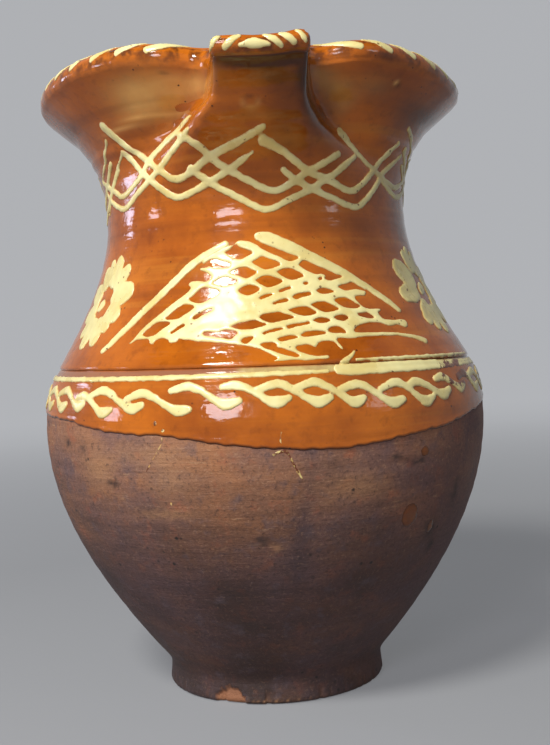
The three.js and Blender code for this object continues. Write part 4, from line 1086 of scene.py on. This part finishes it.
def lip_dash(name, widths, start, end, bow=0.0):
    """start and end: angle, and share of the way over the lip."""
    knots = []
    for t in (0, 0.5, 1):
        share = start[1] + (end[1] - start[1]) * t + (bow if t == 0.5 else 0)
        knots.append((start[0] + (end[0] - start[0]) * t, WAY_LIP + (WAY_END - WAY_LIP) * share))
    return trail_slip(name, [(*widths, knots)], PER_DEGREE_RIM, height=0.3, shoulder=1.0)


dashes = {}
touch = np.random.default_rng(7)
for k, angle in enumerate(np.linspace(FIRST_DASH, 360 - FIRST_DASH, RIM_DASHES), 1):
    lean, low, high = touch.uniform(3.2, 3.9), touch.uniform(0.34, 0.4), touch.uniform(0.68, 0.76)
    side = 1 if angle > 180 else -1  # they lean towards the spout from both sides
    if side > 0:  # and sit higher on the left
        low, high = low + 0.07, high + 0.06
    start, end = (angle - side * lean, low), (angle + side * lean, high)
    dashes["rim_dash_%d" % k] = lip_dash("slip_dash_rim_%d" % k, RIM_WIDTHS, start, end)
for k, dash in enumerate(SPOUT_DASHES, 1):
    dashes["spout_dash_%d" % k] = lip_dash("slip_dash_spout_%d" % k, *dash)
print("dashes:", len(dashes))

# %% [markdown]
# ## Small spills
# A few drops of glaze and slip fell on the bare clay and were fired there: round honey spots on the
# right, a thin crooked run of slip over the edge of the glaze, and some flecks. A pale scratch crosses
# the clay on the left. They are drawn like the patterns and are barely raised. The run, the scratch
# and the flecks are so thin that they need a finer grid.

# %% Spills on the clay
FINE = 0.25
SPOTS = [  # angle, way, half width, half height
    (34.3, 77.9, 4.3, 4.7), (36.7, 101.9, 2.3, 2.0), (43.8, 71.5, 1.9, 2.6)]
RUNS = [
    (0.7, 0.6, 0.6, [(1.2, 113.4), (0.9, 110.4), (1.5, 107.6), (2.2, 106.2)]),
    (1.1, 1.0, 0.6, [(-0.6, 105.6), (0.6, 106.3), (2.2, 106.2), (3.4, 102.2), (4.6, 98.6), (5.5, 95.9)]),
    (0.4, 0.42, 0.3, [(-25.4, 112.6), (-25.6, 110.6), (-28, 105), (-31.2, 98)]),
]
FLECKS = [
    (-26.8, 118.1, 0.7, 0.9), (-25.0, 115.2, 0.8, 1.0), (-24.2, 92.6, 0.5, 0.6), (-24.9, 88.4, 0.4, 0.7),
]


def on_clay_or_glaze(angle, way):
    return np.where(way > glaze_edge(angle) + 0.6, ON_GLAZE, -0.05)


def spill(name, field, **look):
    return make_slip(name, field, PER_DEGREE_BELLY, base=on_clay_or_glaze, **look)


spot_field = trail_field([], PER_DEGREE_BELLY, SPOTS)
# the whole spot is darkened as pooled glaze and painted shade
spots = spill("honey_spots", spot_field, height=0.22, shoulder=3.5, pooled=0.65)
run_field = trail_field(RUNS, PER_DEGREE_BELLY, FLECKS, ragged=0.14, cell=FINE)
slip_run = spill("slip_run", run_field, height=0.3, shoulder=4.0, flaked=0.45)

# %% [markdown]
# ## Finishes from nodes
# A finish is a small network: noise at several sizes changes colour, gloss and bumps, and the marks
# that were stored on the points say where an edge, a chip or a thick trail is. A few helpers keep the
# networks short. The colour is built up like paint: each layer covers a share of what is there.

# %% Helpers: colours and nodes
def srgb(red, green, blue):
    part = [v / 255 for v in (red, green, blue)]
    return tuple(v / 12.92 if v <= 0.04045 else ((v + 0.055) / 1.055) ** 2.4 for v in part) + (1.0,)


class Finish:
    """A material in the making."""

    def __init__(self, name):
        self.material = bpy.data.materials.new(name)
        self.material.use_nodes = True
        self.tree = self.material.node_tree
        self.tree.nodes.clear()
        self.place = self.add("TexCoord").outputs["Object"]

    def add(self, kind, links=None, **settings):
        """A node with its settings. links: what goes into its sockets, a value or another socket."""
        node = self.tree.nodes.new("ShaderNode" + kind)
        for name, value in settings.items():
            setattr(node, name, value)
        for socket, value in (links or {}).items():
            if isinstance(value, bpy.types.NodeSocket):
                self.tree.links.new(value, node.inputs[socket])
            else:
                node.inputs[socket].default_value = value
        return node

    def combine(self, first, second, operation):
        return self.add("Math", {0: first, 1: second}, operation=operation).outputs[0]

    def times(self, first, second):
        return self.combine(first, second, "MULTIPLY")

    def stretch(self, value, low, high, start=0.0, end=1.0):
        """Moves the range from low to high onto the range from start to end."""
        return self.add("MapRange", {0: value, 1: low, 2: high, 3: start, 4: end}).outputs[0]

    def noise(self, scale, detail=3.0, rough=0.55, place=None):
        place = self.place if place is None else place
        links = {"Vector": place, "Scale": scale, "Detail": detail, "Roughness": rough}
        return self.add("TexNoise", links).outputs[0]

    def stretched(self, x, y, z, tilt=0.0):
        links = {"Vector": self.place, "Rotation": (0.0, tilt, 0.0), "Scale": (x, y, z)}
        return self.add("Mapping", links).outputs[0]

    def specks(self, scale, large, small, lone):
        """Round specks, only where lone is 1."""
        away = self.add("TexVoronoi", {"Vector": self.place, "Scale": scale}).outputs["Distance"]
        return self.times(self.stretch(away, large, small), lone)

    def mark(self, name, share=None):
        stored = self.add("Attribute", attribute_name=name).outputs["Fac"]
        return stored if share is None else self.times(stored, share)

    def base(self, share, first, second):
        self.colour = self.add("Mix", {0: share, 6: first, 7: second}, data_type="RGBA").outputs[2]

    def paint(self, share, red, green, blue):
        self.base(share, self.colour, srgb(red, green, blue))

    def close(self, rough, bumps=(), **settings):
        """bumps: (height socket, strength, distance in m), the first one is the lowest layer."""
        links = {"Base Color": self.colour, "Roughness": rough, **settings}
        for height, strength, distance in bumps:
            layer = {"Height": height, "Strength": strength, "Distance": distance}
            if "Normal" in links:
                layer["Normal"] = links["Normal"]
            links["Normal"] = self.add("Bump", layer).outputs[0]
        surface = self.add("BsdfPrincipled", links)
        self.add("OutputMaterial", {"Surface": surface.outputs[0]})
        print("%s: %d nodes" % (self.material.name, len(self.tree.nodes)))
        return self.material


# %% [markdown]
# ## Honey glaze
# A lead glaze over red clay is a deep orange-brown glass. It is darker where it is thick, lighter
# where it ran thin, streaked along the throwing rings, and dotted with dark specks of iron. Painted
# shade darkens it under and beside the spout, on the sides of the flare, on the honey spots and in the
# shoulder groove, and painted light brightens the valleys beside the spout. Its lower edge ends in a
# dark brown line. It is glossy all over, with a very fine orange peel.

# %% Honey glaze
def make_honey_glaze():
    glaze = Finish("honey_glaze_finish")
    stretch, noise, mark, paint = glaze.stretch, glaze.noise, glaze.mark, glaze.paint
    cloud = noise(24.0, 5.0, 0.6)
    streak = noise(1.0, place=glaze.stretched(6, 6, 190))
    grain = noise(240.0, rough=0.6)
    glaze.base(stretch(cloud, 0.34, 0.66), srgb(156, 76, 13), srgb(206, 112, 22))
    paint(stretch(streak, 0.52, 0.8, 0.0, 0.4), 104, 46, 8)
    paint(stretch(streak, 0.44, 0.26, 0.0, 0.4), 212, 134, 40)
    paint(stretch(grain, 0.54, 0.7, 0.0, 0.3), 112, 52, 10)
    # painted light and thin glaze: pale yellow on the lit valleys and highlight streaks beside the spout
    paint(mark("thin_and_painted_light", stretch(cloud, 0.65, 0.35, 0.5, 0.95)), 250, 194, 110)
    # painted shade and pooled glaze: dark brown under and beside the spout and on the flare's sides
    paint(mark("pooled", 0.9), 54, 24, 8)
    paint(glaze.specks(380.0, 0.2, 0.08, stretch(noise(130.0, 1.0), 0.63, 0.68)), 62, 30, 14)
    paint(glaze.times(mark("lip", stretch(noise(190.0), 0.45, 0.6)), 0.75), 66, 32, 18)
    paint(mark("wash", 0.75), 150, 106, 84)
    paint(mark("wash_cream", stretch(grain, 0.62, 0.4, 0.55, 0.95)), 206, 186, 122)
    # painted shade and pooled glaze: dark brown along the tool's groove
    paint(mark("cut", 0.9), 46, 22, 14)
    paint(stretch(mark("hem"), 0.25, 0.75, 0.0, 0.85), 50, 25, 15)
    rough = stretch(noise(60.0), 0.3, 0.75, 0.06, 0.2)
    ripple = noise(120.0, 2.0, place=glaze.stretched(1, 1, 1.8))
    peel = noise(420.0, 2.0)
    bumps = [(streak, 0.4, 0.0006), (cloud, 0.35, 0.0015), (ripple, 0.32, 0.0006), (peel, 0.2, 0.0002)]
    return glaze.close(rough, bumps, **{"IOR": 1.5, "Specular IOR Level": 0.42})


honey_finish = make_honey_glaze()

# %% [markdown]
# ## Cream slip
# White clay under the same honey glaze looks cream to butter yellow. Where a trail is thin, at its
# edges and ends, the red body shows through and the colour turns ochre. The stored thickness drives
# that. Pin-holes and a few brown specks break the surface.

# %% Cream slip
def make_cream_slip():
    slip = Finish("cream_slip_finish")
    stretch, noise, paint = slip.stretch, slip.noise, slip.paint
    cloud = noise(75.0)
    slip.base(stretch(cloud, 0.35, 0.65), srgb(228, 208, 134), srgb(245, 235, 170))
    thin_and_painted_light = stretch(slip.mark("thick"), 0.8, 0.15)
    paint(slip.times(thin_and_painted_light, stretch(noise(210.0, 2.0), 0.3, 0.6)), 186, 124, 52)
    holes = slip.specks(330.0, 0.2, 0.12, stretch(noise(120.0, 1.0), 0.56, 0.62))
    paint(slip.times(holes, 0.8), 112, 62, 26)
    loose = slip.combine(slip.mark("flaked", 0.44), noise(260.0, rough=0.7), "ADD")
    paint(stretch(loose, 0.68, 0.74), 112, 60, 34)
    rough = stretch(cloud, 0.3, 0.7, 0.2, 0.4)
    bumps = [(cloud, 0.3, 0.0006), (noise(520.0, 2.0), 0.12, 0.0002)]
    return slip.close(rough, bumps, IOR=1.52)


cream_finish = make_cream_slip()

# %% [markdown]
# ## Bare clay
# Unglazed earthenware is matt and takes the fire unevenly: orange-brown next to the glaze, mauve to
# the sides, sooty towards the foot. Its colour also darkens downwards as painted shade of the lower
# wall, which faces down, and turns mauve-dark towards the right as painted shade and reflection. The
# turning tool left fine level lines, grit scratched pale marks, and stains and black specks came from
# use. The flake at the foot shows the orange inside.

# %% Bare clay
def make_bare_clay():
    clay = Finish("bare_clay_finish")
    stretch, noise, times, mark, paint = clay.stretch, clay.noise, clay.times, clay.mark, clay.paint
    spot = clay.add("SeparateXYZ", {0: clay.place}).outputs
    upper = stretch(spot["Z"], 0.056, 0.112)
    cloud = noise(26.0, 6.0, 0.62)
    patch = noise(37.0, 5.0, 0.6, clay.stretched(1, 1, 1.6))
    turned = noise(1.0, rough=0.7, place=clay.stretched(14, 14, 700))
    scrape = noise(1.0, 2.0, place=clay.stretched(130, 130, 900, tilt=0.9))
    sand = noise(700.0, 4.0, 0.75)
    mottle = noise(120.0, rough=0.65)
    # painted shade and soot: the clay darkens downwards from 112 mm to 56 mm, where the lower wall faces
    # down, away from the light
    clay.base(upper, srgb(74, 48, 41), srgb(160, 110, 78))
    # painted shade: darker still below 30 mm, darkest at the foot
    paint(stretch(spot["Z"], 0.03, 0.004, 0.0, 0.55), 36, 27, 25)
    paint(times(stretch(cloud, 0.42, 0.64), stretch(upper, 0.0, 1.0, 0.45, 0.7)), 104, 82, 86)  # mauve
    paint(times(stretch(patch, 0.5, 0.68), stretch(upper, 0.2, 0.9, 0.1, 0.6)), 184, 120, 70)  # orange
    paint(times(stretch(patch, 0.47, 0.3), stretch(upper, 1.0, 0.0, 0.25, 0.6)), 50, 37, 34)  # soot
    rust = stretch(mottle, 0.56, 0.7, 0.0, 0.5)
    paint(times(rust, stretch(upper, 0.0, 0.7, 0.25, 1.0)), 168, 92, 58)
    paint(stretch(mottle, 0.44, 0.3, 0.0, 0.5), 92, 78, 84)
    # painted shade and painted reflection: mauve-dark towards the right, the side away from the main lamp
    paint(times(stretch(spot["X"], 0.03, 0.09), 0.6), 98, 70, 74)  # mauve towards the right
    paint(mark("tan", stretch(cloud, 0.62, 0.4, 0.3, 0.8)), 180, 132, 92)
    paint(mark("run", 0.45), 64, 50, 56)
    paint(stretch(turned, 0.52, 0.72, 0.0, 0.22), 70, 48, 42)
    pale = times(stretch(scrape, 0.62, 0.74, 0.0, 0.7), stretch(patch, 0.5, 0.62))
    paint(times(pale, upper), 206, 166, 126)
    paint(stretch(sand, 0.54, 0.68, 0.0, 0.65), 56, 40, 36)
    paint(times(stretch(sand, 0.44, 0.32, 0.0, 0.42), stretch(upper, 0.0, 0.8, 0.35, 1.0)), 186, 146, 114)
    paint(clay.specks(240.0, 0.22, 0.1, stretch(noise(60.0, 2.0), 0.56, 0.64)), 36, 27, 24)
    paint(mark("stain", stretch(sand, 0.3, 0.6, 1.0, 0.7)), 34, 24, 22)
    paint(mark("worn", 0.4), 116, 82, 64)
    paint(mark("chip", stretch(patch, 0.3, 0.5, 0.8, 1.0)), 158, 106, 74)
    rough = stretch(cloud, 0.3, 0.7, 0.6, 0.8)
    bumps = [(turned, 0.3, 0.0006), (cloud, 0.3, 0.0012), (scrape, 0.3, 0.0004), (sand, 0.7, 0.0005)]
    return clay.close(rough, bumps)


clay_finish = make_bare_clay()

# %% [markdown]
# ## Every piece on the jug
# Each piece gets its finish, rides on the one body of the jug, and takes the place of the plain
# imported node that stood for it.

# %% Finishes and places
HONEY_NODES = {"strap_handle": handle, "outer_glaze": outer_glaze, "inner_glaze": inner_glaze}
CREAM_NODES = {
    "neck_lattice": neck_lattice, "front_net": front_net, "net_left_border": net_border,
    "left_flower": left_daisy, "left_flower_dot": left_drop, "right_flower": right_daisy,
    "right_flower_dot": right_drop, "shoulder_line": shoulder_line, "hook_chain": wave, **dashes,
}
PIECES = [(clay_body, clay_finish, "clay", ["thrown_body"])]
PIECES += [(piece, honey_finish, "honey_glaze", [node]) for node, piece in HONEY_NODES.items()]
PIECES += [(piece, cream_finish, "cream_slip", [node]) for node, piece in CREAM_NODES.items()]
PIECES += [(spots, honey_finish, "honey_glaze", []), (slip_run, cream_finish, "cream_slip", [])]
for piece, finish, slot, nodes in PIECES:
    piece.data.materials.append(finish)
    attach(piece, "root")
    if nodes:
        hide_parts(*nodes)
print("pieces:", len(PIECES))

# %% [markdown]
# ## Floor, backdrop and light
# The jug stands in a wide pale bowl: a floor that curves up into a backdrop all round, so no edge
# shows from any side. The bowl glows a little for the camera and in reflections. A soft lamp on the
# left and above gives the main light. Three windows, one in front and two on the left, draw pale
# reflections on the glaze, a weak lamp on the right shows the other flank, and a dim world fills the
# shadows.

# %% Studio bowl
FLOOR_REACH, BEND, WALL_TOP = 1.3, 1.1, 2.6  # metres, like all of the studio
FLOOR_GLOW, BACKDROP_GLOW = 0.22, 0.58
GLOW_FROM, GLOW_TO = 0.3, 1.5


def make_paper():
    paper = Finish("pale_paper")
    rays = paper.add("LightPath").outputs
    seen = rays["Is Camera Ray"]
    for ray in ("Is Glossy Ray", "Is Transmission Ray"):
        seen = paper.combine(seen, rays[ray], "MAXIMUM")
    far = paper.add("VectorMath", {0: paper.place}, operation="LENGTH").outputs["Value"]
    glow = paper.times(seen, paper.stretch(far, GLOW_FROM, GLOW_TO, FLOOR_GLOW, BACKDROP_GLOW))
    paper.colour = srgb(128, 129, 132)
    return paper.close(0.9, **{"Emission Strength": glow, "Emission Color": srgb(214, 216, 220)})


def make_studio():
    turn = np.linspace(0, np.pi / 2, 14)
    profile = [(r, 0.0) for r in (0.02, 0.3, 0.7, FLOOR_REACH)]
    profile += [(FLOOR_REACH + BEND * np.sin(t), BEND * (1 - np.cos(t))) for t in turn[1:]]
    profile += [(FLOOR_REACH + BEND, WALL_TOP)]
    around = np.linspace(0, 2 * np.pi, 96, endpoint=False)
    points = [(r * np.cos(a), r * np.sin(a), z) for r, z in profile for a in around]
    faces = ring_faces(len(profile), len(around), False) + [list(range(len(around)))[::-1]]
    studio = make_mesh("studio_floor", np.array(points) / MM, faces)
    studio.data.materials.append(make_paper())
    studio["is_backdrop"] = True


make_studio()

# %% Lamps and world
LAMPS = [  # name, place, height that it is aimed at, size in m, watts, colour
    ("main_lamp", (-0.42, -0.68, 0.96), 0.15, 0.3, 12.0, (1.0, 0.99, 0.94)),
    ("front_window", (-0.4, -0.97, 0.44), 0.16, 0.34, 3.9, (0.95, 0.93, 1.0)),
    ("left_window", (-1.07, -0.14, 0.32), 0.16, 0.15, 0.7, (0.8, 0.82, 1.0)),
    ("back_window", (-1.0, 0.4, 0.38), 0.16, 0.17, 0.8, (0.7, 0.76, 1.0)),
    ("right_lamp", (0.86, -0.6, 0.42), 0.15, 0.2, 0.4, (0.95, 0.95, 1.0)),
]
WORLD_COLOUR, WORLD_STRENGTH = (0.75, 0.8, 0.9, 1), 0.1
scene = bpy.context.scene
for name, place, aim, size, watts, colour in LAMPS:
    lamp = bpy.data.lights.new(name, "AREA")
    lamp.shape, lamp.size, lamp.energy, lamp.color = "DISK", size, watts, colour
    holder = bpy.data.objects.new(name, lamp)
    holder.location = place
    holder.rotation_euler = (Vector((0, 0, aim)) - Vector(place)).to_track_quat("-Z", "Y").to_euler()
    holder.visible_camera = False
    scene.collection.objects.link(holder)
world = bpy.data.worlds.new("dim_room")
world.use_nodes = True
background = world.node_tree.nodes["Background"].inputs
background["Color"].default_value = WORLD_COLOUR
background["Strength"].default_value = WORLD_STRENGTH
scene.world = world
scene.view_settings.view_transform = "Standard"
print("lamps:", len(LAMPS))

# %% [markdown]
# ## Camera
# The camera stands close in front, a little to the left, at the height of the shoulder. From there it
# is turned a little sideways and down, and it is held slightly tilted. Its three axes follow from
# these turns.

# %% Camera
CAMERA_AWAY, CAMERA_HEIGHT = 0.4684, 0.1453
ROUND, YAW, PITCH, ROLL = (math.radians(v) for v in (-2.1, 0.65, 1.66, 2.75))
FOCAL, SENSOR, NEAREST = 51.46, 36.0, 0.01


def swung(first, second, turn):
    """Two axes of the camera, turned in their plane."""
    c, s = math.cos(turn), math.sin(turn)
    return first * c + second * s, second * c - first * s


def make_camera():
    ahead = Vector((-math.sin(ROUND), math.cos(ROUND), 0))
    right = Vector((math.cos(ROUND), math.sin(ROUND), 0))
    place = Vector((0, 0, CAMERA_HEIGHT)) - ahead * CAMERA_AWAY
    ahead, right = swung(ahead, right, YAW)
    ahead, up = swung(ahead, Vector((0, 0, 1)), -PITCH)
    right, up = swung(right, up, -ROLL)
    lens = bpy.data.cameras.new("front_camera")
    lens.lens, lens.sensor_width, lens.sensor_fit = FOCAL, SENSOR, "AUTO"
    lens.clip_start = NEAREST
    camera = bpy.data.objects.new("front_camera", lens)
    camera.matrix_world = Matrix.Translation(place) @ Matrix((right, up, -ahead)).transposed().to_4x4()
    scene.collection.objects.link(camera)
    scene.camera = camera
    print("camera at", np.round(place, 3).tolist())


make_camera()

# %% [markdown]
# ## Measure and finish
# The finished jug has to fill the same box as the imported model.

# %% Size and finish
made_box = [list(corner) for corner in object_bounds()]
{"cad": [[float(v) for v in c] for c in cad_box], "visual": [[float(v) for v in c] for c in made_box]}
print("made box in m:", np.round(made_box, 4).tolist())
